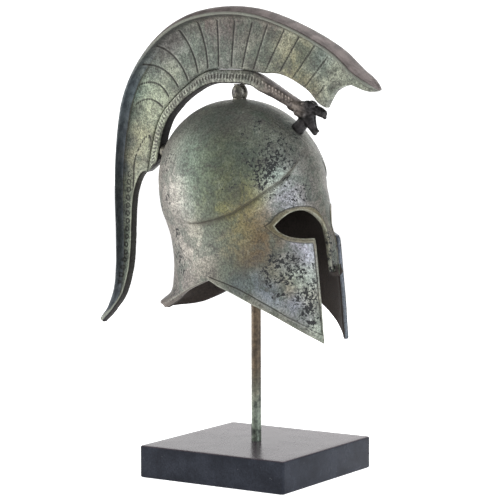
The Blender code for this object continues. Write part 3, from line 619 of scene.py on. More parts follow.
def make_bowl(materials, settings):
    """The outer skin is the bowl surface pushed along its normal by the relief: a
    border raised by a smoothstep of its signed distance, a dome that stands proud
    over the crease and dies away upwards, a bell-shaped groove along the crease
    and slow hammered waves. The inner skin is the same grid pushed inwards by the
    wall, and the two are joined by a rounded rim."""
    skin, quads, triangles, fields = bowl_skin()
    if turned_inside_out(skin, quads, triangles):
        quads, triangles = quads[:, ::-1], triangles[:, ::-1]
    normals = point_normals(skin, quads, triangles)
    border, crease = bowl_fields(fields["angle"], fields["level"])
    degrees = np.degrees(fields["angle"])
    rim = border_edges(quads, triangles)
    rim_gap = nearest_rim(skin, skin[np.unique(rim)]) * 1000

    fade = step_between(15, 34, degrees) * (1.0 - step_between(97, 118, degrees))
    over = step_between(-0.7, 0.5, crease) * np.exp(-np.maximum(crease, 0.0) / 26)
    dome = fade * (settings.dome_step * 1000 * over - 0.65 * bump(crease + 0.8, 1.5))
    raised = settings.border_height * 1000 * step_between(-0.35, 0.35, border) - 0.35 * bump(border, 0.6)
    rear = step_between(112.0, 150.0, degrees)
    edge = -0.75 * bump(rim_gap, 0.7) - 1.2 * rear * bump(rim_gap, 1.8)
    hammered = settings.hammering * 1000 * waves(skin, 11, 22, 0.016, 0.050) + 0.05 * waves(skin, 12, 24, 0.004, 0.010)
    relief = (dome + raised + edge + hammered * (1.0 - 0.6 * step_between(0.0, 0.6, border))) / 1000
    outer = skin + normals * relief[:, None]
    roll = 4.6 * rear * (bump(rim_gap, 7.0) - 0.40 * bump(rim_gap, 1.8))
    lining = (0.35 * waves(skin, 13, 22, 0.018, 0.050) - 0.7 * bump(rim_gap, 0.7) + roll) / 1000
    inner = skin - normals * (BOWL_WALL + lining)[:, None]

    count = len(skin)
    rim_points = np.unique(rim)
    number = np.full(count, -1)
    number[rim_points] = np.arange(len(rim_points)) + 2 * count
    outward = np.zeros_like(skin)
    sideways = np.cross(skin[rim[:, 1]] - skin[rim[:, 0]], normals[rim[:, 0]])
    for k in (0, 1):
        np.add.at(outward, rim[:, k], sideways)
    outward = outward[rim_points] / np.linalg.norm(outward[rim_points], axis=1)[:, None]
    bulge = 0.0003 + 0.0022 * rear[rim_points]
    middle = (outer[rim_points] + inner[rim_points]) / 2 + outward * bulge[:, None]
    walls = [np.stack([rim[:, 1], rim[:, 0], number[rim[:, 0]], number[rim[:, 1]]], axis=1),
             np.stack([number[rim[:, 1]], number[rim[:, 0]], rim[:, 0] + count, rim[:, 1] + count], axis=1)]
    points = np.concatenate([outer, inner, middle])
    quads = np.concatenate([quads, quads[:, ::-1] + count, *walls])
    triangles = np.concatenate([triangles, triangles[:, ::-1] + count])

    far = fields["side"] > 0
    tint = np.empty_like(skin)
    pits = np.empty(count)
    for mask, turn, lift in ((~far, 0.0, 0.0), (far, FAR_TURN, FAR_LIFT)):
        mirror = np.array([1.0 if turn == 0.0 else -1.0, 1.0, 1.0])
        shifts = np.array([turn, lift])
        tints, clusters = BOWL_TINTS_AND_HIGHLIGHTS.copy(), PIT_CLUSTERS.copy()
        tints[:, :2] += shifts
        clusters[:, :2] += shifts
        tint[mask] = spread(skin[mask], bowl_patches(tints) * mirror, tints[:, 2] / 1000, tints[:, 3:], BOWL_GROUND)
        pits[mask] = density(skin[mask], bowl_patches(clusters) * mirror, clusters[:, 2] / 430, clusters[:, 3])
    joined = {"tint": tint, "pits": np.minimum(pits, 0.84), "border": np.clip(border, -9.0, 9.0),
              "crease": np.where(fade > 0.01, np.clip(crease / np.maximum(fade, 0.05), -9.0, 9.0), 9.0),
              "rim": np.minimum(rim_gap, 9.0), "inside": np.zeros(count)}
    final = {}
    for label, values in joined.items():
        lining_values = np.ones(count) if label == "inside" else values
        final[label] = np.concatenate([values, lining_values, values[rim_points]])
    final["inside"][2 * count:] = 0.0
    final["rim"][2 * count:] = 0.0
    bowl = make_mesh("bowl", points, quads, triangles, final, materials)
    return place_piece(bowl, "bowl_bronze", "helmet_bowl")


# Crest

RING_STATIONS = 800
FEATHER_STARTS = np.array([
    (-76.1, 370), (-62.8, 379.4), (-47.2, 387.2), (-32.1, 393.5), (-14.7, 398.1), (0.8, 400.5), (19.1, 402.0),
    (37.8, 402.8), (58, 401.5), (77.5, 394.3), (101.1, 381.5), (116.0, 365.1), (121.0, 347.5), (127, 329.2)])
FEATHER_ENDS = np.array([
    (-53.2, 344.5), (-40.1, 351.4), (-26.9, 356.6), (-12.6, 358.4), (-0.2, 359.2), (11.7, 360.3), (22.7, 361.2),
    (36.5, 361.3), (47.8, 360.5), (58.3, 356.1), (69.2, 349.9), (79.5, 343.7), (90.5, 335.7), (97.2, 325.9)])
FEATHER_BOWS = np.array([0.0, 0.0, 0.0, 0.0, 0.3, 0.5, 0.3, -0.6, -2.2, -3.2, -5.0, -6.0, -6.5, -6.0])
TAIL_VEIN = np.array([(113.2, 302.4), (119.5, 296.5), (123.8, 290.0), (127.6, 283.0), (130.1, 275.1), (131.0, 256.7),
                      (131.6, 240.0)])
TAIL_LEAF = np.array([(113.2, 302.4), (110.4, 296.0), (109.9, 289.1), (112.6, 281.0), (116.7, 273.4)])
FRONT_SCRATCH = np.array([(-74.5, 347.5), (-69.5, 340.8), (-64.8, 336.8)])
SCROLL_SPINE = np.array([(135.0, 268.0), (137.2, 240.8), (138.5, 216.0), (139.6, 202.0), (141.2, 188.0),
                         (144.2, 174.0), (149.5, 161.0)])
SCROLL_STEP = 7.2


def crest_points(table, both_drops=True):
    """Places of a crest outline given in shares, as (y, z) in metres."""
    across = np.where(table[:, 0] < 0, CREST_FRONT, CREST_BACK)
    upward = np.where(table[:, 1] < 0, TAIL_DROP if both_drops else CREST_RISE, CREST_RISE)
    return np.stack([table[:, 0] * across, DOME_TOP + table[:, 1] * upward], axis=1)


def band_top():
    """The band's top line as (y, z) in metres."""
    across = np.where(BAND_LINE[:, 0] < 0, BAND_FRONT, BAND_BACK)
    seat = DOME_TOP + BAND_RISE + BAND_DEPTH
    return np.stack([BAND_LINE[:, 0] * across, seat + BAND_LINE[:, 1] * BAND_RISE], axis=1)


CREST_KNOTS = np.array([0.0, 9.0, 17.0, 41.0, 57.0])
CREST_SHARES = np.array([0.0, 0.115, 0.262, 0.640, 1.0])


def crest_lines(places):
    """Matching points of the crest's outer and inner edges at places from 0 to 57,
    front to tail. The inner edge runs through nose, belly, band and tail lines."""
    runs = [crest_points(CREST_NOSE, False), crest_points(CREST_BELLY, False), band_top(), crest_points(TAIL_INNER)]
    inner = np.zeros((len(places), 2))
    for run, start, end in zip(runs, CREST_KNOTS[:-1], CREST_KNOTS[1:]):
        here = (places >= start) & (places <= end)
        inner[here] = along(run, (places[here] - start) / (end - start))
    outline_points = crest_points(CREST_EDGE)
    shares = np.interp(places, CREST_KNOTS, CREST_SHARES)
    return along(outline_points, shares), inner


def plate_profile():
    """Half of the crest's section from the middle of its crown to its inner edge,
    as rows of (kind, share): 0 crown, 1 rim bead, 2 fillet, 3 web, 4 inner edge."""
    crown = [(0, a) for a in np.linspace(0.0, 0.97, 9)]
    bead = [(1, a) for a in np.linspace(0.0, 1.0, 6)]
    fillet = [(2, a) for a in np.linspace(0.14, 1.0, 8)]
    web = [(3, a) for a in np.linspace(0.04, 0.97, 19)]
    return np.array(crown + bead + fillet + web + [(4, 0.5), (4, 1.0)])


# Patina colours on the crest: y, z and radius in mm, then linear red, green and blue
CREST_TINTS = np.array([
    (-95, 352, 12, 0.30, 0.32, 0.25), (-78, 352, 11, 0.36, 0.38, 0.29), (-70, 368, 9, 0.20, 0.24, 0.21),
    (-64, 360, 9, 0.26, 0.31, 0.27), (-58, 350, 10, 0.25, 0.215, 0.12), (-46, 364, 12, 0.30, 0.275, 0.15),
    (-50, 376, 9, 0.20, 0.20, 0.13), (-32, 380, 10, 0.33, 0.32, 0.22), (-30, 368, 10, 0.25, 0.24, 0.16),
    (-15, 372, 12, 0.21, 0.22, 0.16), (-8, 384, 10, 0.15, 0.145, 0.12), (5, 378, 12, 0.185, 0.195, 0.155),
    (12, 388, 10, 0.135, 0.12, 0.105), (25, 376, 12, 0.155, 0.16, 0.14), (30, 390, 10, 0.115, 0.095, 0.090),
    (45, 378, 13, 0.19, 0.20, 0.17), (62, 378, 12, 0.22, 0.25, 0.21), (48, 388, 9, 0.13, 0.11, 0.105),
    (20, 399, 9, 0.105, 0.080, 0.072), (50, 398, 9, 0.13, 0.10, 0.09), (-20, 396, 9, 0.15, 0.13, 0.11),
    (78, 388, 10, 0.11, 0.10, 0.095), (40, 362, 8, 0.15, 0.155, 0.14), (0, 361, 8, 0.15, 0.145, 0.12),
    (62, 360, 9, 0.25, 0.26, 0.21), (72, 372, 10, 0.19, 0.21, 0.18), (92, 376, 11, 0.115, 0.11, 0.105),
    (90, 358, 11, 0.27, 0.29, 0.22), (106, 362, 10, 0.17, 0.19, 0.17), (115, 343, 11, 0.31, 0.37, 0.27),
    (102, 338, 10, 0.38, 0.42, 0.30), (128, 340, 9, 0.075, 0.135, 0.13), (118, 324, 11, 0.38, 0.41, 0.28),
    (106, 318, 9, 0.34, 0.37, 0.27), (132, 320, 8, 0.12, 0.15, 0.12), (120, 302, 11, 0.34, 0.34, 0.22),
    (110, 290, 10, 0.30, 0.32, 0.23), (137, 296, 8, 0.085, 0.10, 0.09), (126, 280, 10, 0.31, 0.30, 0.20),
    (118, 272, 9, 0.27, 0.29, 0.23), (144, 270, 7, 0.045, 0.060, 0.075), (134, 255, 10, 0.27, 0.29, 0.21),
    (136, 230, 10, 0.28, 0.31, 0.24), (145, 230, 6, 0.055, 0.075, 0.095), (137, 205, 10, 0.23, 0.27, 0.21),
    (141, 180, 10, 0.18, 0.21, 0.17), (149, 180, 6, 0.06, 0.075, 0.09), (150, 158, 10, 0.115, 0.135, 0.125),
    (160, 142, 10, 0.07, 0.08, 0.078), (168, 130, 9, 0.045, 0.05, 0.05),
])
CREST_GROUND = (0.21, 0.215, 0.175)


def flat_patches(table):
    """Places in the middle plane of (y, z, ...) rows in mm."""
    return np.column_stack([np.zeros(len(table)), table[:, :2] / 1000])


def feather_lines():
    """The incised lines of the crest as (y, z) in mm: each feather line is the
    straight line between its ends plus a bow of 4 * t * (1 - t) outwards."""
    t = np.linspace(-0.08, 1.03, 14)[:, None]
    lines = []
    for start, end, bow in zip(FEATHER_STARTS, FEATHER_ENDS, FEATHER_BOWS):
        run = end - start
        aside = np.array([-run[1], run[0]]) / np.linalg.norm(run)
        lines.append(start + run * t + aside * bow * 4.0 * t * (1.0 - t))
    return lines + [TAIL_VEIN, TAIL_LEAF, FRONT_SCRATCH]


def scroll_lines():
    """A column of S-shaped scrolls down the tail: on each stretch of the spine the
    line swings aside by the sine of its share and closes in a small loop."""
    spine = along(SCROLL_SPINE, np.linspace(0.0, 1.0, 200))
    length = np.linalg.norm(np.diff(spine, axis=0), axis=1).sum()
    count = int(length / SCROLL_STEP)
    lines = []
    for k in range(count):
        middle = along(SCROLL_SPINE, np.array([(k + 0.5) / count]))[0]
        size = 1.05 - 0.30 * k / count
        turn = np.linspace(-0.2, 1.9 * math.pi, 17)
        radius = size * SCROLL_STEP * (0.34 - 0.028 * turn)
        hand = 1.0 if k % 2 else -1.0
        curl = middle + np.stack([hand * radius * np.cos(turn), radius * np.sin(turn) * 1.25], axis=1)
        lines.append(curl)
    return lines


def make_plume(materials, settings):
    """Rings carried from the front tongue to the tail. Each ring lies between a
    point of the outer edge and its match on the inner edge: a convex crown
    (half * a, -crown * (1 - a * a)), a rounded rim bead, a quarter-ellipse fillet
    down to the web, the web and a rounded inner edge. The incised lines are
    bell-shaped grooves of the distance to each line."""
    places = CREST_KNOTS[-1] * closer_at_both(RING_STATIONS, 0.25)
    places = np.sort(np.concatenate([places, CREST_KNOTS[1:-1]]))
    outer, inner = crest_lines(places)
    count = len(places)
    front = np.clip((places + 0.2) / 4.5, 0.0, 1.0)
    blunt = np.sqrt(1.0 - (1.0 - front) ** 2)
    taper = np.clip((1.0 - places / CREST_KNOTS[-1]) / 0.22, 0.0, 1.0)
    slim = 0.34 + 0.66 * np.sqrt(1.0 - (1.0 - taper) ** 2)
    half = (CREST_HALF_WIDTH * blunt * slim)[:, None]
    half_web = np.minimum(WEB_THICKNESS / 2, half * 0.62)
    crown = (CREST_CROWN * blunt * slim)[:, None]
    axis = inner - outer
    depth = np.linalg.norm(axis, axis=1)[:, None]
    axis = axis / depth
    deep = np.minimum(CREST_FILLET, 0.75 * depth)
    edge = np.minimum(CREST_RIM, 0.35 * depth)

    rows = plate_profile()
    kind, share = rows[:, 0], rows[:, 1]
    bead_turn = share * math.pi
    bead_x = half - 0.0005 * (1.0 - np.sin(bead_turn))
    bead_d = edge * (1.0 - np.cos(bead_turn)) / 2 - 0.03 * crown
    sweep = np.sin(share * math.pi / 2)
    fillet_x = half - 0.0005 + (half_web - half + 0.0005) * sweep
    fillet_d = edge + (deep - edge) * (1.0 - np.cos(share * math.pi / 2))
    web_d = deep + (depth - 0.0008 - deep) * share
    last_x = half_web * (1.0 - 0.35 * share ** 2)
    last_d = depth - 0.0008 + 0.0008 * share
    groove_row = 0.0005 * bump(share - 0.86, 0.07)
    x = np.select([kind == 0, kind == 1, kind == 2, kind == 3], [half * share, bead_x, fillet_x, half_web + 0 * share],
                  last_x)
    d = np.select([kind == 0, kind == 1, kind == 2, kind == 3],
                  [groove_row - crown * (1.0 - share ** 2), bead_d, fillet_d, web_d], last_d)
    flat = outer[:, None, :] + axis[:, None, :] * d[..., None]
    lines = feather_lines()
    gap = np.full(x.shape, 99.0)
    place = np.zeros(x.shape)
    for line in lines:
        distance, where = line_distance(flat * 1000, line)
        place = np.where(distance < gap, where, place)
        gap = np.minimum(gap, distance)
    curls = np.full(x.shape, 99.0)
    near_tail = places > 43.0
    for line in scroll_lines():
        curls[near_tail] = np.minimum(curls[near_tail], line_distance(flat[near_tail] * 1000, line)[0])
    web = (kind == 3) | ((kind == 2) & (share > 0.30))
    lines_here = web * (d < depth - 0.0012)
    fading = step_between(0.0, 0.06, place) * (1.0 - step_between(0.96, 1.0, place))
    gap = np.where(lines_here, gap + 2.0 * (1.0 - fading), 9.0)
    curls = np.where(lines_here, curls, 9.0)
    cut = settings.incision * 1000 * bump(gap, 0.75) + 0.35 * bump(curls, 0.6)
    pillow = 0.05 * step_between(0.3, 3.5, gap) * (places < 41.0)[:, None] * web

    points = np.stack([x, flat[..., 0], flat[..., 1]], axis=-1)
    mirrored = points[:, 1:] * (-1.0, 1.0, 1.0)
    ring = np.concatenate([points, mirrored[:, ::-1]], axis=1)
    relief = (pillow - cut) * (kind >= 2)
    relief = np.concatenate([relief, relief[:, :0:-1]], axis=1) / 1000
    gaps = np.concatenate([gap, gap[:, :0:-1]], axis=1)
    curl_gaps = np.concatenate([curls, curls[:, :0:-1]], axis=1)
    zone = np.where(kind == 0, 0.0, np.where(kind == 1, 1.0, np.where(kind == 2, 2.0, 3.0)))
    zone = np.broadcast_to(zone, x.shape)
    zones = np.concatenate([zone, zone[:, :0:-1]], axis=1)
    rim_mm = np.concatenate([d, d[:, :0:-1]], axis=1) * 1000
    columns = ring.shape[1]
    quads = grid_quads(count, columns, round_rows=True)
    total = count * columns
    caps = ring[[0, -1]].mean(axis=1)
    flat_points = ring.reshape(-1, 3)
    ripple = 0.12 * waves(flat_points, 21, 24, 0.006, 0.03) + 0.05 * waves(flat_points, 22, 24, 0.002, 0.005)
    normals = point_normals(flat_points, quads, NO_FACES)
    if turned_inside_out(flat_points, quads, NO_FACES):
        normals = -normals
    ripple = np.where(zones.reshape(-1) > 1.5, ripple, 0.35 * ripple - 0.10) / 1000
    moved = flat_points + normals * (relief.reshape(-1) + ripple)[:, None]
    following = (np.arange(columns) + 1) % columns
    first = np.stack([following, np.arange(columns), np.full(columns, total)], axis=1)
    last = np.stack([np.arange(columns), following, np.full(columns, total + 1)], axis=1)
    last[:, :2] += (count - 1) * columns
    points = np.concatenate([moved, caps])
    left = (depth - d) * 1000
    fields = {"groove": gaps, "curl": curl_gaps, "zone": zones, "rim": rim_mm,
              "inner": np.concatenate([left, left[:, :0:-1]], axis=1),
              "way": np.broadcast_to((places / CREST_KNOTS[-1])[:, None], zones.shape)}
    fields = {label: np.append(values.reshape(-1), [values.flat[0], values.flat[-1]])
              for label, values in fields.items()}
    fields["tint"] = spread(points * (0.0, 1.0, 1.0), flat_patches(CREST_TINTS), CREST_TINTS[:, 2] / 1000,
                            CREST_TINTS[:, 3:], CREST_GROUND)
    plume = make_mesh("plume", points, quads, np.concatenate([first, last]), fields, materials)
    return place_piece(plume, "crest_bronze", "crest_plume")


# Serpent, knob, peg, rod and slab

BAND_STATIONS = 560
SECTION_POINTS = 56
BAR_TOP = np.array([(-10.5, 353.4), (-20.5, 348.1), (-31.1, 341.8), (-45.8, 333.4)]) / 1000
BAR_UNDER = np.array([(-7.3, 340.1), (-22.4, 333.3), (-33.5, 327.5), (-44.5, 321.0)]) / 1000
# The head's tapered tubes: middle line points as (x, y, z) in mm, their radii, and
# how far each tube is flattened sideways
HEAD_TUBES = [
    (((0, -38, 329), (0, -47, 326.5), (0, -56.5, 325.5)), (5.2, 6.3, 6.0), 0.95),
    (((0, -55, 325.6), (0, -61.5, 324.6), (0, -66.8, 322.8), (0, -69.2, 321.6)), (6.2, 4.4, 4.3, 3.9), 1.0),
    (((0, -68.8, 321.6), (0, -70.4, 319.5), (0, -71.2, 318.2)), (3.3, 2.6, 1.7), 1.0),
    (((3.2, -51, 330.0), (3.4, -57, 330.2), (2.8, -61.5, 328.0)), (2.0, 2.7, 1.7), 1.0),
    (((-3.2, -51, 330.0), (-3.4, -57, 330.2), (-2.8, -61.5, 328.0)), (2.0, 2.7, 1.7), 1.0),
    (((2.2, -66.5, 323.6), (2.2, -69.8, 322.4)), (1.9, 2.1), 1.0),
    (((-2.2, -66.5, 323.6), (-2.2, -69.8, 322.4)), (1.9, 2.1), 1.0),
    (((0, -51, 320), (0, -55.6, 314.4), (0, -59.0, 308.8), (0, -61.2, 304.8)), (5.8, 4.9, 3.5, 2.4), 1.0),
    (((0, -57.4, 319.2), (0, -58.2, 314.6), (0, -60.2, 309.8), (0, -62.4, 307.2)), (4.2, 3.8, 2.9, 1.9), 1.0),
    (((0, -61, 307.2), (0, -64.2, 306.3)), (2.0, 1.3), 1.4),
    (((3.4, -45, 322.5), (4.0, -51, 320.0)), (3.2, 3.4), 1.0),
    (((-3.4, -45, 322.5), (-4.0, -51, 320.0)), (3.2, 3.4), 1.0),
    (((0, -50.5, 320), (0, -50.0, 315.6), (0, -47.6, 312.0), (0, -44.4, 308.7)), (6.0, 5.4, 5.8, 6.3), 0.95),
    (((5.4, -57.6, 327.0), (5.7, -58.1, 326.8)), (1.3, 1.3), 1.0),
    (((-5.4, -57.6, 327.0), (-5.7, -58.1, 326.8)), (1.3, 1.3), 1.0),
]
HEAD_VOXEL = 0.00052


def superellipse(turns, bluntness):
    """Points (cos, sin) of turns, each raised to 2 / bluntness and keeping its sign."""
    power = 2.0 / bluntness
    across, upward = np.cos(turns), np.sin(turns)
    return np.sign(across) * np.abs(across) ** power, np.sign(upward) * np.abs(upward) ** power


def closed_loft(rings):
    """Points and faces of a closed surface through rings of equal length, with a
    middle point that closes each end."""
    count, columns = rings.shape[:2]
    points = np.concatenate([rings.reshape(-1, 3), rings[[0, -1]].mean(axis=1)])
    here = np.arange(columns)
    following = (here + 1) % columns
    first = np.stack([following, here, np.full(columns, count * columns)], axis=1)
    last = np.stack([here, following, np.full(columns, count * columns + 1)], axis=1)
    last[:, :2] += (count - 1) * columns
    return points, grid_quads(count, columns, round_rows=True), np.concatenate([first, last])


def band_sections():
    """The band's and bar's upper and lower lines, front end first, as matching points."""
    places = np.linspace(17.0, 41.0, 400)
    _, top = crest_lines(places)
    run = np.gradient(top, axis=0)
    run /= np.linalg.norm(run, axis=1)[:, None]
    inward = np.stack([run[:, 1], -run[:, 0]], axis=1)
    depth = BAND_DEPTH * smooth(np.linspace(0.0, 1.0, 400), BAND_NARROWING[:, 0], BAND_NARROWING[:, 1])
    under = top + inward * depth[:, None]
    share = np.linspace(0.0, 1.0, 400)
    back = share - 0.05 * step_between(0.82, 1.0, share)
    under = np.stack([np.interp(back, share, under[:, k]) for k in (0, 1)], axis=1)
    top = top + inward * 0.0003
    bar_top = along(BAR_TOP, np.linspace(1.0, 0.0, 90))
    bar_under = along(BAR_UNDER, np.linspace(1.0, 0.0, 90))
    keep = under[:, 0] > 0.004
    return np.concatenate([bar_top, top[keep]]), np.concatenate([bar_under, under[keep]])


def tube(points, radii, flat, sides=20, rings=26):
    """Closed tapered tube: circles of the blended radius along the smooth middle
    line, drawn in at both ends by the square root of 1 - u squared."""
    points = np.asarray(points, float) / 1000
    radii = np.asarray(radii, float) / 1000
    turns = np.linspace(0.0, math.pi, rings)
    places = (1.0 - np.cos(turns)) / 2
    middle = along(points, places)
    radius = smooth(places, chord_shares(points), radii)
    tangent = np.gradient(middle, axis=0)
    tangent /= np.linalg.norm(tangent, axis=1)[:, None]
    before = middle[0] - tangent[0] * radius[0] * np.cos(np.linspace(0.06, math.pi / 2, 7))[:, None]
    after = middle[-1] + tangent[-1] * radius[-1] * np.sin(np.linspace(0.0, math.pi / 2 - 0.06, 7))[:, None]
    middle = np.concatenate([before, middle[1:-1], after])
    size = np.concatenate([radius[0] * np.sin(np.linspace(0.06, math.pi / 2, 7)), radius[1:-1],
                           radius[-1] * np.cos(np.linspace(0.0, math.pi / 2 - 0.06, 7))])
    tangent = np.concatenate([np.repeat(tangent[:1], 7, 0), tangent[1:-1], np.repeat(tangent[-1:], 7, 0)])
    aside = np.cross(tangent, (0.0, 0.3, 1.0))
    aside /= np.linalg.norm(aside, axis=1)[:, None]
    upward = np.cross(aside, tangent)
    spin = np.linspace(0.0, 2 * math.pi, sides, endpoint=False)
    ring = aside[:, None] * np.cos(spin)[:, None] * flat + upward[:, None] * np.sin(spin)[:, None]
    return closed_loft(middle[:, None] + ring * size[:, None, None])


def outward_faces(points, quads, triangles):
    """The same faces, turned over when the closed surface is inside out."""
    if turned_inside_out(points, quads, triangles):
        return quads[:, ::-1], triangles[:, ::-1]
    return quads, triangles


def head_surface():
    """The serpent's head and stem: tapered tubes merged by a voxel remesh and
    smoothed. Returns its points and quads."""
    points, quads, triangles = [], [], []
    first = 0
    for line, radii, flat in HEAD_TUBES:
        part, part_quads, part_triangles = tube(line, radii, flat)
        part_quads, part_triangles = outward_faces(part, part_quads, part_triangles)
        points.append(part)
        quads.append(part_quads + first)
        triangles.append(part_triangles + first)
        first += len(part)
    item = make_mesh("head_form", np.concatenate(points), np.concatenate(quads), np.concatenate(triangles), {}, [],
                     closed=False)
    remesh = item.modifiers.new("merge", "REMESH")
    remesh.mode = "VOXEL"
    remesh.voxel_size = HEAD_VOXEL
    ease = item.modifiers.new("ease", "SMOOTH")
    ease.factor = 0.5
    ease.iterations = 3
    shaped = item.evaluated_get(bpy.context.evaluated_depsgraph_get()).to_mesh()
    places = np.empty(len(shaped.vertices) * 3, np.float32)
    shaped.vertices.foreach_get("co", places)
    corners = np.empty(len(shaped.loops), np.int32)
    shaped.loops.foreach_get("vertex_index", corners)
    item.evaluated_get(bpy.context.evaluated_depsgraph_get()).to_mesh_clear()
    bpy.data.objects.remove(item, do_unlink=True)
    return places.reshape(-1, 3).astype(float), corners.reshape(-1, 4).astype(int)


def make_serpent(materials, settings):
    """Band and bar: superellipse sections between the upper and lower lines, boxy on
    the band and rounder on the bar. A ladder of ticks, then two rows of beads, stand
    on both faces as bell curves repeated along the length."""
    upper, lower = band_sections()
    middle = (upper + lower) / 2
    shares = chord_shares(middle)
    places = np.linspace(0.0, 1.0, BAND_STATIONS)
    upper = np.stack([smooth(places, shares, upper[:, k]) for k in (0, 1)], axis=1)
    lower = np.stack([smooth(places, shares, lower[:, k]) for k in (0, 1)], axis=1)
    middle = (upper + lower) / 2
    reach = (upper - lower) / 2
    mm_along = np.concatenate([[0.0], np.cumsum(np.linalg.norm(np.diff(middle, axis=0), axis=1))]) * 1000
    bar = 1.0 - step_between(-0.022, 0.004, middle[:, 0])
    forward = np.clip((-BAND_FRONT - middle[:, 0]) / 0.036, 0.0, 1.0)
    half = BAND_THICKNESS / 2 - 0.0030 * forward * forward * (3.0 - 2.0 * forward)
    turns = np.linspace(0.0, 2 * math.pi, SECTION_POINTS, endpoint=False)
    boxy = superellipse(turns, 6.5)
    rounded = superellipse(turns, 3.0)
    across = boxy[0] + (rounded[0] - boxy[0]) * bar[:, None]
    upward = boxy[1] + (rounded[1] - boxy[1]) * bar[:, None]
    side = np.abs(across) ** 6

    height = upward * np.linalg.norm(reach, axis=1)[:, None] * 1000
    tick_pitch, bead_pitch = settings.tick_pitch * 1000, settings.bead_pitch * 1000
    phase = np.abs(((mm_along[:, None] + 0.35 * height) / tick_pitch) % 1.0 - 0.5) * 2
    bar_phase = np.abs(((mm_along[:, None] - 0.3 * height) / bead_pitch) % 1.0 - 0.5) * 2
    tick = (1.0 - step_between(0.25, 0.75, phase)) * bump(height - 0.6, 1.9)
    rail = bump(np.abs(height - 0.6) - 3.0, 0.45)
    rows = (1.0 - step_between(0.2, 0.7, bar_phase)) * (bump(height - 3.0, 1.2) + 0.7 * bump(height - 0.2, 0.9))
    start = side * step_between(4.0, 10.0, mm_along)[:, None]
    stroke = tick * (1.0 - bar[:, None]) * start
    row = rows * bar[:, None] * start
    relief = 0.30 * rail * (1.0 - bar[:, None]) * start - 0.50 * stroke + 0.90 * row
    lean = 1.0 - 0.26 * (1.0 - bar[:, None]) * step_between(-0.2, 1.0, upward)
    x = across * (lean * (half[:, None] - 0.0009) + relief / 1000)
    flat = middle[:, None] + reach[:, None] * upward[..., None]
    rings = np.stack([x, flat[..., 0], flat[..., 1]], axis=-1)
    points, quads, triangles = closed_loft(rings)
    quads, triangles = outward_faces(points, quads, triangles)
    ripple = 0.07 * waves(points, 31, 24, 0.003, 0.012) / 1000
    points = points + point_normals(points, quads, triangles) * ripple[:, None]
    beads = np.append(row.reshape(-1), [0.0, 0.0])
    strokes = np.append(stroke.reshape(-1), [0.0, 0.0])
    face = np.abs(across) ** 3
    pale = np.append((face * (1.0 - bar)[:, None]).reshape(-1), [0.0, 0.0])
    # Painted shade: mask of the under side of band and bar, which the material paints nearly black.
    below = np.append((step_between(0.75, 0.97, -upward)).reshape(-1), [1.0, 1.0])
    above = np.append((step_between(0.60, 0.90, upward) * bar[:, None]).reshape(-1), [0.0, 0.0])

    head, head_quads = head_surface()
    head_quads = outward_faces(head, head_quads, NO_FACES)[0]
    rough = 0.10 * waves(head, 32, 24, 0.0022, 0.008) / 1000
    head = head + point_normals(head, head_quads, NO_FACES) * rough[:, None]
    mouth = line_distance(head[:, 1:] * 1000, [(-50.5, 317.8), (-56.0, 317.0), (-62.5, 317.6)])[0]
    fields = {"beads": np.concatenate([beads, np.zeros(len(head))]),
              "strokes": np.concatenate([strokes, np.zeros(len(head))]),
              "pale": np.concatenate([np.clip(pale, 0.0, 1.0), np.zeros(len(head))]),
              "below": np.concatenate([below, np.zeros(len(head))]),
              "above": np.concatenate([above, np.zeros(len(head))]),
              "tint": spread(np.concatenate([points, head]) * (0.0, 1.0, 1.0), flat_patches(CREST_TINTS),
                             CREST_TINTS[:, 2] / 1000, CREST_TINTS[:, 3:], CREST_GROUND),
              "mouth": np.concatenate([np.full(len(points), 9.0), mouth])}
    serpent = make_mesh("serpent", np.concatenate([points, head]), np.concatenate([quads, head_quads + len(points)]),
                        triangles, fields, materials, closed=False)
    return place_piece(serpent, "serpent_bronze", "crest_serpent")


def turned(profile, middle, sides):
    """Rings of a turned form: (radius, height) rows swung round an upright axis."""
    spin = np.linspace(0.0, 2 * math.pi, sides, endpoint=False)
    circle = np.stack([np.cos(spin), np.sin(spin)], axis=1)
    profile = np.asarray(profile, float)
    flat = circle[None] * profile[:, :1, None] + np.asarray(middle)
    return np.concatenate([flat, np.broadcast_to(profile[:, 1:, None], flat.shape[:2] + (1,))], axis=2)


def make_turned(name, profile, middle, sides, materials, rough=0.0):
    """Turned form as a closed mesh, with waves of the given depth in metres."""
    points, quads, triangles = closed_loft(turned(profile, middle, sides))
    quads, triangles = outward_faces(points, quads, triangles)
    if rough:
        push = rough * waves(points, 41, 24, 0.003, 0.02)
        points = points + point_normals(points, quads, triangles) * push[:, None]
    return make_mesh(name, points, quads, triangles, {}, materials)


def make_knob(materials):
    """Ball between a low flared foot and a collar: its radius is the circle's
    sqrt(R * R - h * h), blended into the foot's and the collar's radii."""
    low, high = KNOB_LOW[2] - 0.0012, KNOB_HIGH[2] + 0.0005
    height = np.linspace(low, high, 60)
    ball = 0.0073
    centre = KNOB_HIGH[2] - 0.0074
    circle = np.sqrt(np.maximum(ball ** 2 - (0.86 * (height - centre)) ** 2, 0.0))
    foot = 0.0046 + 0.0016 * bump(height - KNOB_LOW[2] + 0.0004, 0.0018)
    collar = 0.0040 + 0.0013 * bump(height - KNOB_HIGH[2], 0.0009)
    radius = np.maximum(circle, np.where(height < centre, foot, collar))
    middle = (KNOB_LOW[:2] + KNOB_HIGH[:2]) / 2
    knob = make_turned("knob", np.stack([radius, height], axis=1), middle, 48, materials, 0.00005)
    return place_piece(knob, "serpent_bronze", "crest_knob")


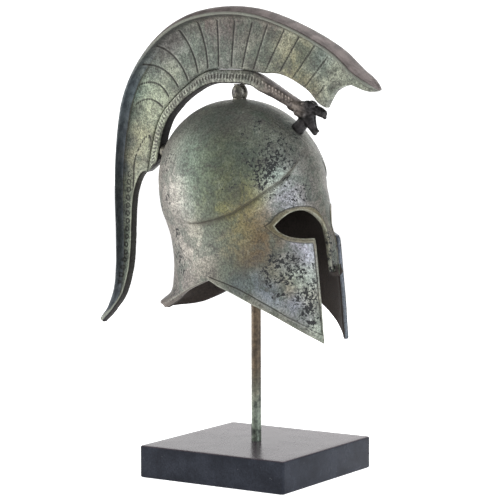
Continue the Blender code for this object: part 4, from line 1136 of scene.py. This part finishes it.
def make_rod(materials):
    """Round bar with a chamfered top, a little uneven along its length."""
    radius = (ROD_HIGH[0] - ROD_LOW[0]) / 2
    height = np.linspace(ROD_LOW[2], ROD_HIGH[2] - 0.0015, 160)
    profile = np.stack([np.full(160, radius), height], axis=1)
    profile = np.vstack([profile, (radius - 0.0004, ROD_HIGH[2] - 0.0006), (radius - 0.0015, ROD_HIGH[2])])
    rod = make_turned("rod", profile, (0.0, 0.0), 40, materials, 0.00004)
    return place_piece(rod, "rod_bronze", "stand_rod")


def make_slab(materials):
    """Slab whose plan is a square with round corners. Its side profile is upright
    with round top and bottom edges, and rings drawn in to the middle close it."""
    half = SLAB_HIGH[0]
    corner, edge = 0.0030, 0.0014
    arcs = np.linspace(0.0, math.pi / 2, 9)
    middles = np.array([(1, 1), (-1, 1), (-1, -1), (1, -1)]) * (half - corner)
    plan = np.concatenate([middle + corner * np.stack([np.cos(arcs + k * math.pi / 2),
                                                       np.sin(arcs + k * math.pi / 2)], axis=1)
                           for k, middle in enumerate(middles)])
    around = np.linspace(0.0, math.pi / 2, 7)
    rise = edge * (1.0 - np.cos(around))
    draw = edge * (1.0 - np.sin(around))
    shrink = np.concatenate([[0.999, 0.5, 0.1], draw / half, [0.0], draw[::-1] / half, [0.1, 0.5, 0.999]])
    height = np.concatenate([[0.0] * 3, rise, [SLAB_HIGH[2] / 2], SLAB_HIGH[2] - rise[::-1], [SLAB_HIGH[2]] * 3])
    flat = plan[None] * (1.0 - shrink)[:, None, None]
    rings = np.concatenate([flat, np.broadcast_to(height[:, None, None], flat.shape[:2] + (1,))], axis=2)
    points, quads, triangles = closed_loft(rings)
    slab = make_mesh("slab", points, quads, triangles, {}, materials)
    slab.data.set_sharp_from_angle(angle=math.radians(30.0))
    return place_piece(slab, "slab_stone", "stand_base")


# Materials

class Finish:
    """A material's node tree with short calls for the nodes that the finishes share."""

    def __init__(self, name):
        self.material = bpy.data.materials.new(name)
        self.material.use_nodes = True
        self.tree = self.material.node_tree
        self.shader = self.tree.nodes["Principled BSDF"]
        self.place = self.add("ShaderNodeTexCoord").outputs["Object"]

    def add(self, kind, values=None, **settings):
        node = self.tree.nodes.new(kind)
        for label, setting in settings.items():
            setattr(node, label, setting)
        for label, value in (values or {}).items():
            self.put(value, node.inputs[label])
        return node

    def put(self, value, socket):
        if isinstance(value, bpy.types.NodeSocket):
            self.tree.links.new(value, socket)
        else:
            socket.default_value = value

    def field(self, name, colour=False):
        return self.add("ShaderNodeAttribute", attribute_name=name).outputs["Color" if colour else "Fac"]

    def noise(self, size, detail=4.0, roughness=0.6, distortion=0.0):
        """Noise from 0 to 1 whose lumps are about this many metres across."""
        node = self.add("ShaderNodeTexNoise", {"Vector": self.place, "Scale": 1.0 / size, "Detail": detail,
                                               "Roughness": roughness, "Distortion": distortion})
        return node.outputs["Fac"]

    def cells(self, size, randomness=1.0):
        """Distance to the nearest of scattered points about this many metres apart."""
        node = self.add("ShaderNodeTexVoronoi", {"Vector": self.place, "Scale": 1.0 / size, "Randomness": randomness})
        return node.outputs["Distance"]

    def sum(self, operation, one, two=0.0, three=None):
        node = self.add("ShaderNodeMath", operation=operation)
        for k, value in enumerate((one, two, three)):
            if value is not None and k < len(node.inputs):
                self.put(value, node.inputs[k])
        return node.outputs[0]

    def ramp(self, value, low, high, start=0.0, end=1.0):
        """Smooth step of a value from start at low to end at high."""
        node = self.add("ShaderNodeMapRange", {"Value": value, "From Min": low, "From Max": high, "To Min": start,
                                               "To Max": end}, interpolation_type="SMOOTHSTEP")
        return node.outputs["Result"]

    def mix(self, factor, one, two, blend="MIX"):
        node = self.add("ShaderNodeMix", data_type="RGBA", blend_type=blend)
        for value, k in ((factor, 0), (one, 6), (two, 7)):
            if isinstance(value, tuple) and len(value) == 3:
                value = (*value, 1.0)
            self.put(value, node.inputs[k])
        return node.outputs[2]

    def shade(self, colour, factor):
        """The colour times a grey value."""
        grey = self.add("ShaderNodeCombineColor", {"Red": factor, "Green": factor, "Blue": factor}).outputs[0]
        return self.mix(1.0, colour, grey, "MULTIPLY")

    def finish(self, colour, roughness, metallic, height=None, strength=0.5, distance=0.001, specular=0.5):
        self.put(colour, self.shader.inputs["Base Color"])
        self.put(roughness, self.shader.inputs["Roughness"])
        self.put(metallic, self.shader.inputs["Metallic"])
        self.put(specular, self.shader.inputs["Specular IOR Level"])
        if height is not None:
            bump_node = self.add("ShaderNodeBump", {"Height": height, "Strength": strength, "Distance": distance})
            self.put(bump_node.outputs["Normal"], self.shader.inputs["Normal"])
        return self.material


def patina(finish, tint, grain=1.0):
    """Bronze patina over a painted tint: slow clouds, green and brown blooms and a
    dark granular speckle. Returns its colour, the speckle and its height."""
    clouds = finish.noise(0.024, 5.0, 0.66, 0.6)
    lumps = finish.noise(0.0100, 6.0, 0.72, 0.4)
    grit = finish.noise(0.0019, 5.0, 0.78)
    dust = finish.noise(0.0011, 2.5, 0.65)
    colour = finish.shade(tint, 0.80)
    colour = finish.mix(finish.ramp(clouds, 0.46, 0.60, 0.0, 0.66), colour, (0.060, 0.075, 0.060))
    colour = finish.mix(finish.ramp(lumps, 0.50, 0.64, 0.0, 0.58), colour, (0.058, 0.052, 0.046))
    colour = finish.mix(finish.ramp(lumps, 0.45, 0.30, 0.0, 0.28), colour, (0.30, 0.32, 0.26))
    colour = finish.shade(colour, finish.ramp(grit, 0.38, 0.62, 1.38, 0.60))
    speck = finish.ramp(dust, 0.54, 0.62, 0.0, 0.54 * grain)
    colour = finish.mix(speck, colour, (0.040, 0.042, 0.040))
    height = finish.sum("MULTIPLY_ADD", grit, 0.55, finish.sum("MULTIPLY", dust, 0.35))
    return colour, grit, height


def pitting(finish, colour, height, pits, pit_colour):
    """Dark corrosion pits where fine noise passes a level that falls as the painted
    density rises. Returns colour, height and the pits' mask."""
    blotch = finish.noise(0.0027, 4.0, 0.62, 0.6)
    level = finish.sum("MULTIPLY_ADD", pits, -0.27, 0.705)
    over = finish.sum("SUBTRACT", blotch, level)
    mask = finish.ramp(over, 0.0, 0.03)
    halo = finish.ramp(over, -0.05, 0.02, 0.0, 0.35)
    colour = finish.mix(halo, colour, (0.12, 0.125, 0.125))
    colour = finish.mix(finish.sum("MULTIPLY", mask, 0.92), colour, tuple(pit_colour))
    height = finish.sum("SUBTRACT", height, finish.sum("MULTIPLY", mask, 1.6))
    return colour, height, mask


def scaled(colour, factor):
    return tuple(factor * part for part in colour)


def bowl_material(settings):
    """Bowl: painted tints under patina, pits, olive border with an incised line,
    painted shade along the crease and dark lining."""
    finish = Finish("Bowl patina")
    colour, grit, height = patina(finish, finish.field("tint", True))
    border = finish.field("border")
    rim = finish.field("rim")
    on_border = finish.ramp(border, 0.1, 0.7)
    olive = finish.mix(finish.ramp(grit, 0.36, 0.64), tuple(settings.border), scaled(settings.border, 0.5))
    axes = finish.add("ShaderNodeSeparateXYZ", {"Vector": finish.place}).outputs
    round_eye = finish.ramp(axes["Z"], 0.180, 0.212, 0.10, 0.78)
    colour = finish.mix(finish.sum("MULTIPLY", on_border, round_eye), colour, olive)
    far_face = finish.sum("MULTIPLY", finish.ramp(axes["X"], 0.012, 0.018), finish.ramp(axes["Z"], 0.240, 0.234))
    slate = finish.mix(finish.ramp(grit, 0.36, 0.64), (0.100, 0.112, 0.135), (0.036, 0.041, 0.052))
    line = finish.ramp(finish.sum("ABSOLUTE", border), 0.70, 0.15, 0.0, 0.80)
    colour = finish.mix(line, colour, (0.035, 0.032, 0.026))
    ridge = finish.ramp(finish.sum("ABSOLUTE", finish.sum("SUBTRACT", border, 1.1)), 0.6, 0.1, 0.0, 0.08)
    colour = finish.mix(ridge, colour, (0.42, 0.42, 0.34))
    edge = finish.ramp(rim, 1.3, 0.4, 0.0, finish.ramp(finish.noise(0.005), 0.35, 0.65, 0.10, 0.42))
    colour = finish.mix(edge, colour, (0.42, 0.44, 0.36))
    bare = finish.sum("MULTIPLY", finish.ramp(rim, 0.45, 0.05), finish.ramp(border, -3.0, -6.0, 0.0, 0.85))
    colour = finish.mix(bare, colour, (0.085, 0.070, 0.060))
    front_wall = finish.sum("MULTIPLY", far_face, finish.ramp(rim, 1.2, 0.4, 0.0, 0.92))
    colour = finish.mix(front_wall, colour, slate)
    rear = finish.sum("MULTIPLY", finish.ramp(axes["Y"], 0.062, 0.090), finish.ramp(rim, 6.0, 2.0, 0.0, 0.85))
    rear = finish.sum("MULTIPLY", rear, finish.ramp(axes["Z"], 0.200, 0.180))
    colour = finish.mix(rear, colour, (0.095, 0.074, 0.064))
    # Painted shade along the crease: a wide dark band over the dome's step and a darker narrow line in its groove.
    crease = finish.field("crease")
    fall = finish.sum("ABSOLUTE", finish.sum("ADD", crease, 0.8))
    colour = finish.mix(finish.ramp(fall, 5.0, 0.2, 0.0, 0.52), colour, (0.06, 0.052, 0.036))
    colour = finish.mix(finish.ramp(fall, 1.2, 0.1, 0.0, 0.62), colour, (0.035, 0.030, 0.024))
    colour, height, pits = pitting(finish, colour, height, finish.field("pits"), settings.pits)
    inside = finish.field("inside")
    lining = finish.mix(finish.ramp(grit, 0.3, 0.7), scaled(settings.lining, 0.5), scaled(settings.lining, 1.5))
    colour = finish.mix(finish.ramp(inside, 0.35, 0.65), colour, lining)
    dull = finish.sum("MAXIMUM", finish.ramp(inside, 0.35, 0.65), pits)
    rough = finish.ramp(grit, 0.3, 0.7, 0.42, 0.62)
    rough = finish.sum("MULTIPLY_ADD", dull, 0.3, rough)
    return finish.finish(colour, rough, 0.45, height, 0.6, 0.0005, 0.35)


def crest_material(settings):
    """Crest: granular patina, dark incised lines with worn edges, a pale rim bead over
    painted shade in the fillet, a smooth brown crown and painted shade on the tail's inner edge."""
    finish = Finish("Crest patina")
    colour, grit, height = patina(finish, finish.field("tint", True), 1.55)
    zone = finish.field("zone")
    crown = finish.ramp(zone, 0.8, 0.35)
    fillet = finish.ramp(finish.field("rim"), 2.4, 5.0)
    shadow = finish.ramp(fillet, 0.0, 1.0, 0.60, 0.0)
    colour = finish.mix(shadow, colour, (0.055, 0.055, 0.052))
    brown = finish.mix(finish.ramp(finish.noise(0.012, 4.0), 0.35, 0.65), (0.062, 0.050, 0.047), (0.120, 0.098, 0.092))
    colour = finish.mix(crown, colour, brown)
    bead = finish.ramp(finish.sum("ABSOLUTE", finish.sum("SUBTRACT", zone, 1.0)), 0.35, 0.05, 0.0, 0.32)
    colour = finish.mix(bead, colour, (0.26, 0.27, 0.22))
    rear = finish.ramp(finish.field("way"), 0.52, 0.64)
    rim = finish.field("rim")
    flange = finish.sum("MULTIPLY", finish.ramp(rim, 8.2, 6.6, 0.0, 0.78), rear)
    slate = finish.mix(finish.ramp(finish.noise(0.007), 0.35, 0.65), (0.034, 0.042, 0.055), (0.085, 0.100, 0.115))
    colour = finish.mix(flange, colour, slate)
    seam = finish.ramp(finish.sum("ABSOLUTE", finish.sum("SUBTRACT", rim, 8.2)), 1.4, 0.2, 0.0, 0.65)
    colour = finish.mix(finish.sum("MULTIPLY", seam, rear), colour, (0.055, 0.045, 0.032))
    groove = finish.field("groove")
    worn = finish.ramp(finish.sum("ABSOLUTE", finish.sum("SUBTRACT", groove, 1.5)), 0.8, 0.1, 0.0, 0.08)
    colour = finish.mix(worn, colour, (0.36, 0.36, 0.29))
    colour = finish.mix(finish.ramp(groove, 1.25, 0.45, 0.0, 0.92), colour, tuple(settings.incised))
    colour = finish.mix(finish.ramp(finish.field("curl"), 1.05, 0.35, 0.0, 0.88), colour, (0.025, 0.024, 0.022))
    tail = finish.ramp(finish.field("way"), 0.712, 0.728)
    inner = finish.field("inner")
    lip = finish.ramp(finish.sum("ABSOLUTE", finish.sum("SUBTRACT", inner, 2.2)), 1.3, 0.2, 0.0, 0.55)
    colour = finish.mix(finish.sum("MULTIPLY", lip, tail), colour, (0.36, 0.37, 0.29))
    # Painted shade: the tail's inner edge, turned away from the lights, is painted nearly black and made rougher.
    under = finish.ramp(inner, 1.3, 0.6, 0.0, 0.92)
    colour = finish.mix(finish.sum("MULTIPLY", under, tail), colour, (0.018, 0.015, 0.014))
    rough = finish.ramp(grit, 0.3, 0.7, 0.42, 0.64)
    rough = finish.sum("MULTIPLY_ADD", finish.sum("MULTIPLY", under, tail), 0.3, rough)
    return finish.finish(colour, rough, 0.45, height, 0.6, 0.0005, 0.38)


def serpent_material(settings):
    """Serpent: dark brown bronze with painted highlights on the bead tops, the crest's
    patina on the band's faces and nearly black painted shade on the under side."""
    finish = Finish("Serpent bronze")
    web, grit, height = patina(finish, finish.field("tint", True), 1.2)
    lumps = finish.noise(0.005, 4.0, 0.6)
    axes = finish.add("ShaderNodeSeparateXYZ", {"Vector": finish.place}).outputs
    front = finish.sum("MAXIMUM", finish.ramp(axes["Y"], -0.046, -0.057), finish.ramp(axes["Z"], 0.3215, 0.3165))
    dark = finish.mix(finish.ramp(lumps, 0.35, 0.65), scaled(settings.serpent, 0.30), scaled(settings.serpent, 1.55))
    brown = finish.mix(finish.ramp(lumps, 0.35, 0.65), (0.050, 0.041, 0.036), (0.15, 0.125, 0.108))
    brown = finish.mix(front, brown, dark)
    colour = finish.mix(finish.field("pale"), brown, web)
    beads = finish.field("beads")
    colour = finish.mix(finish.ramp(finish.field("strokes"), 0.12, 0.50, 0.0, 0.88), colour, (0.028, 0.026, 0.022))
    # Painted highlight: pale pinkish tops on the beads.
    colour = finish.mix(finish.ramp(beads, 0.35, 0.85, 0.0, 0.80), colour, (0.42, 0.35, 0.31))
    below = finish.field("below")
    colour = finish.mix(finish.sum("MULTIPLY", finish.field("above"), 0.55), colour, (0.30, 0.27, 0.27))
    # Painted shade: the under side is painted nearly black.
    colour = finish.mix(finish.sum("MULTIPLY", below, 0.95), colour, (0.012, 0.010, 0.010))
    colour = finish.shade(colour, finish.ramp(grit, 0.3, 0.7, 1.25, 0.75))
    colour = finish.mix(finish.ramp(finish.field("mouth"), 1.1, 0.4, 0.0, 0.85), colour, (0.008, 0.007, 0.007))
    rough = finish.sum("MULTIPLY_ADD", below, 0.35, finish.ramp(grit, 0.3, 0.7, 0.36, 0.56))
    return finish.finish(colour, rough, 0.45, height, 0.5, 0.0004, 0.35)


def knob_material(name):
    """Brownish bronze with pale worn spots, for the knob and the peg."""
    finish = Finish(name)
    lumps = finish.noise(0.004, 4.0, 0.6)
    grit = finish.noise(0.0015, 3.0, 0.7)
    colour = finish.mix(finish.ramp(lumps, 0.35, 0.65), (0.040, 0.036, 0.034), (0.17, 0.16, 0.125))
    colour = finish.shade(colour, finish.ramp(grit, 0.3, 0.7, 1.25, 0.7))
    return finish.finish(colour, finish.ramp(grit, 0.3, 0.7, 0.32, 0.5), 0.6, grit, 0.4, 0.0004)


def rod_material(settings):
    """Rod: brown bronze above that turns to mottled green lower down."""
    finish = Finish("Rod bronze")
    height = finish.add("ShaderNodeSeparateXYZ", {"Vector": finish.place}).outputs["Z"]
    streak = finish.noise(0.009, 4.0, 0.6)
    grit = finish.noise(0.0018, 4.0, 0.7)
    brown = finish.mix(finish.ramp(streak, 0.35, 0.65), scaled(settings.rod, 0.36), scaled(settings.rod, 0.92))
    green = finish.mix(finish.ramp(streak, 0.40, 0.60), (0.042, 0.050, 0.042), (0.17, 0.20, 0.16))
    lower = finish.ramp(finish.sum("MULTIPLY_ADD", streak, 0.05, height), 0.125, 0.075)
    colour = finish.mix(lower, brown, green)
    colour = finish.shade(colour, finish.ramp(grit, 0.3, 0.7, 1.3, 0.65))
    return finish.finish(colour, finish.ramp(grit, 0.3, 0.7, 0.28, 0.46), 0.6, grit, 0.3, 0.0003)


def slab_material(settings):
    """Dark polished stone: fine blue-grey clouds with scattered pale specks, and a top face
    painted a lighter mauve as the sheen of its polish.
    """
    finish = Finish("Slab stone")
    clouds = finish.noise(0.020, 5.0, 0.6)
    grain = finish.noise(0.0016, 3.0, 0.7)
    stone = tuple(settings.stone)
    colour = finish.mix(finish.ramp(clouds, 0.35, 0.65), scaled(stone, 1.05), scaled(stone, 1.60))
    height = finish.add("ShaderNodeSeparateXYZ", {"Vector": finish.place}).outputs["Z"]
    # Painted sheen: the top face is painted a lighter mauve than the sides.
    top = finish.ramp(height, SLAB_HIGH[2] - 0.0010, SLAB_HIGH[2] - 0.0002, 0.0, 0.8)
    colour = finish.mix(top, colour, (0.056, 0.043, 0.050))
    colour = finish.shade(colour, finish.ramp(grain, 0.3, 0.7, 0.8, 1.25))
    specks = finish.ramp(finish.cells(0.0045), 0.10, 0.06, 0.0, 0.5)
    specks = finish.sum("MULTIPLY", specks, finish.ramp(finish.noise(0.008), 0.5, 0.65))
    colour = finish.mix(specks, colour, (0.22, 0.22, 0.23))
    rough = finish.ramp(clouds, 0.3, 0.7, 0.25, 0.28)
    finish.shader.inputs["IOR"].default_value = 1.12
    finish.shader.inputs["Specular Tint"].default_value = (1.0, 0.84, 0.87, 1.0)
    return finish.finish(colour, rough, 0.0, grain, 0.10, 0.0002)


# Stage

CAMERA_YAW = math.radians(-57.110)
CAMERA_PITCH = math.radians(4.731)
CAMERA_ROLL = math.radians(-0.129)
CAMERA_PLACE = (-1.50917, -0.96963, 0.34850)
CAMERA_LENS = 145.69
FLOOR_GLOW = 0.80


def make_camera():
    """Camera at the photograph's place: its back axis comes from yaw and pitch, its
    right axis is level, and both side axes are then rolled."""
    yaw, pitch, roll = CAMERA_YAW, CAMERA_PITCH, CAMERA_ROLL
    back = Vector((math.sin(yaw) * math.cos(pitch), -math.cos(yaw) * math.cos(pitch), math.sin(pitch)))
    right = (-back).cross(Vector((0, 0, 1))).normalized()
    upward = back.cross(right)
    side = right * math.cos(roll) + upward * math.sin(roll)
    top = upward * math.cos(roll) - right * math.sin(roll)
    data = bpy.data.cameras.new("camera")
    data.lens = CAMERA_LENS
    data.sensor_width = 36.0
    camera = bpy.data.objects.new("camera", data)
    bpy.context.scene.collection.objects.link(camera)
    turn = Matrix((side, top, back)).transposed().to_4x4()
    camera.matrix_world = Matrix.Translation(CAMERA_PLACE) @ turn
    bpy.context.scene.camera = camera
    return side, back


def make_lamp(name, place, target, size, power, colour=(1.0, 1.0, 1.0)):
    data = bpy.data.lights.new(name, "AREA")
    data.shape = "RECTANGLE"
    data.size, data.size_y = size
    data.energy = power
    data.color = colour
    lamp = bpy.data.objects.new(name, data)
    bpy.context.scene.collection.objects.link(lamp)
    look = (Vector(target) - Vector(place)).to_track_quat("-Z", "Y").to_matrix().to_4x4()
    lamp.matrix_world = Matrix.Translation(place) @ look
    lamp.visible_camera = False
    return lamp


def make_floor():
    """Pale floor as a wide flat grid whose height is zero, bright enough to meet
    the white surroundings."""
    steps = np.linspace(-4.0, 4.0, 9)
    across, along_y = np.meshgrid(steps, steps)
    points = np.stack([across.ravel(), along_y.ravel(), np.zeros(across.size)], axis=1)
    finish = Finish("Pale floor")
    haze = finish.noise(0.8, 2.0)
    colour = finish.mix(haze, (0.93, 0.93, 0.93), (0.95, 0.95, 0.95))
    material = finish.finish(colour, 0.8, 0.0)
    finish.shader.inputs["Emission Color"].default_value = (1.0, 1.0, 1.0, 1.0)
    finish.shader.inputs["Emission Strength"].default_value = FLOOR_GLOW
    floor = make_mesh("floor", points, grid_quads(9, 9), NO_FACES, {}, [material], closed=False)
    return floor


def make_world(sky, glow):
    """White surroundings: what the camera sees is white, and what lights the
    object is a softer grey of the given strength."""
    world = bpy.data.worlds.new("Studio")
    bpy.context.scene.world = world
    world.use_nodes = True
    tree = world.node_tree
    background = tree.nodes["Background"]
    background.inputs["Color"].default_value = (1.0, 1.0, 1.0, 1.0)
    path = tree.nodes.new("ShaderNodeLightPath")
    strength = tree.nodes.new("ShaderNodeMapRange")
    strength.inputs["To Min"].default_value = glow
    strength.inputs["To Max"].default_value = sky
    tree.links.new(path.outputs["Is Camera Ray"], strength.inputs["Value"])
    tree.links.new(strength.outputs["Result"], background.inputs["Strength"])


def make_stage(settings):
    """Camera, floor, white surroundings and soft panels: a strong one at the
    camera's left, a cooler one before its right, and weaker ones behind and above."""
    side, back = make_camera()
    make_floor()
    make_world(1.46, settings.surround)
    middle = Vector((0.0, 0.0, 0.24))
    upward = Vector((0.0, 0.0, 1.0))
    key = settings.key
    make_lamp("left_softbox", middle - side * 1.1 - back * 0.12 + upward * 0.02, middle, (1.0, 1.4), 20.0 * key)
    make_lamp("right_softbox", middle + side * 0.95 + back * 1.0 + upward * 0.30, middle, (0.5, 1.0), 17.5 * key,
              (0.90, 0.95, 1.0))
    make_lamp("top_softbox", middle + upward * 1.2 + side * 0.3 - back * 0.2, middle, (0.9, 0.9), 12.0 * key)
    make_lamp("back_panel", middle - back * 1.2 + side * 0.3 + upward * 0.3, middle, (1.8, 1.3), 14.0 * key)
    bpy.context.scene.view_settings.view_transform = "Standard"
    bpy.context.scene.view_settings.look = "None"


# Sizes and colours a user would change

def length(name, description, default):
    return bpy.props.FloatProperty(name=name, description=description, default=default, min=0.0, max=0.02,
                                   precision=5, unit="LENGTH", subtype="DISTANCE")


def tone(name, description, default):
    return bpy.props.FloatVectorProperty(name=name, description=description, default=default, size=3, min=0.0,
                                         max=1.0, subtype="COLOR")


class HELMET_PG_finish(bpy.types.PropertyGroup):
    dome_step: length("Dome step", "How far the dome stands out over the line round the bowl", 0.0021)
    border_height: length("Border height", "How far the border round the eyes and cheeks is raised", 0.00055)
    hammering: length("Hammering", "Depth of the slow unevenness of the bowl", 0.00022)
    incision: length("Line depth", "Depth of the lines cut into the crest", 0.00055)
    tick_pitch: length("Tick spacing", "Distance between the short strokes along the serpent's band", 0.0033)
    bead_pitch: length("Bead spacing", "Distance between the beads along the serpent's neck", 0.0036)
    border: tone("Border", "Colour of the border round the eyes", (0.118, 0.098, 0.052))
    lining: tone("Lining", "Colour inside the bowl", (0.029, 0.0225, 0.019))
    pits: tone("Pits", "Colour of the corrosion pits", (0.018, 0.018, 0.019))
    incised: tone("Lines", "Colour inside the crest's lines", (0.020, 0.018, 0.016))
    serpent: tone("Serpent", "Colour of the serpent's head", (0.0185, 0.0162, 0.0163))
    rod: tone("Rod", "Colour of the rod's upper part", (0.105, 0.076, 0.048))
    stone: tone("Stone", "Colour of the slab's sides", (0.0155, 0.0175, 0.0225))
    key: bpy.props.FloatProperty(name="Key light", description="Strength of all the soft lights, 1 as built",
                                 default=1.0, min=0.0, max=5.0, subtype="FACTOR")
    surround: bpy.props.FloatProperty(name="Surround", description="Strength of the white light from all sides",
                                      default=0.32, min=0.0, max=3.0, subtype="FACTOR")


class HELMET_OT_bowl(bpy.types.Operator):
    """Build the helmet's bowl with its borders, crease and lining"""
    bl_idname = "helmet.bowl"
    bl_label = "Bowl"

    def execute(self, context):
        settings = context.scene.helmet_finish
        make_bowl([bowl_material(settings)], settings)
        return {"FINISHED"}


class HELMET_OT_crest(bpy.types.Operator):
    """Build the crest with its incised lines"""
    bl_idname = "helmet.crest"
    bl_label = "Crest"

    def execute(self, context):
        settings = context.scene.helmet_finish
        make_plume([crest_material(settings)], settings)
        return {"FINISHED"}


class HELMET_OT_serpent(bpy.types.Operator):
    """Build the serpent that carries the crest, its knob and the finish of the peg"""
    bl_idname = "helmet.serpent"
    bl_label = "Serpent and knob"

    def execute(self, context):
        settings = context.scene.helmet_finish
        make_serpent([serpent_material(settings)], settings)
        make_knob([knob_material("Knob bronze")])
        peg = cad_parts["rear_peg"]
        peg.data.materials.clear()
        peg.data.materials.append(knob_material("Peg bronze"))
        return {"FINISHED"}


class HELMET_OT_stand(bpy.types.Operator):
    """Build the rod and the stone slab"""
    bl_idname = "helmet.stand"
    bl_label = "Stand"

    def execute(self, context):
        settings = context.scene.helmet_finish
        make_rod([rod_material(settings)])
        make_slab([slab_material(settings)])
        return {"FINISHED"}


class HELMET_OT_stage(bpy.types.Operator):
    """Build the floor, the lights and the camera"""
    bl_idname = "helmet.stage"
    bl_label = "Stage"

    def execute(self, context):
        make_stage(context.scene.helmet_finish)
        return {"FINISHED"}


class HELMET_PT_panel(bpy.types.Panel):
    """Steps of the helmet in the 3D view's sidebar"""
    bl_idname = "HELMET_PT_panel"
    bl_label = "Helmet"
    bl_space_type = "VIEW_3D"
    bl_region_type = "UI"
    bl_category = "Helmet"

    def draw(self, context):
        for operator in OPERATORS:
            self.layout.operator(operator.bl_idname)
        for name in HELMET_PG_finish.__annotations__:
            self.layout.prop(context.scene.helmet_finish, name)


OPERATORS = (HELMET_OT_bowl, HELMET_OT_crest, HELMET_OT_serpent, HELMET_OT_stand, HELMET_OT_stage)
CLASSES = (HELMET_PG_finish, *OPERATORS, HELMET_PT_panel)


def register():
    for kind in CLASSES:
        bpy.utils.register_class(kind)
    bpy.types.Scene.helmet_finish = bpy.props.PointerProperty(type=HELMET_PG_finish)


def unregister():
    del bpy.types.Scene.helmet_finish
    for kind in reversed(CLASSES):
        bpy.utils.unregister_class(kind)


def main():
    register()
    bpy.ops.helmet.bowl()
    bpy.ops.helmet.crest()
    bpy.ops.helmet.serpent()
    bpy.ops.helmet.stand()
    bpy.ops.helmet.stage()


if __name__ == "__main__":
    main()
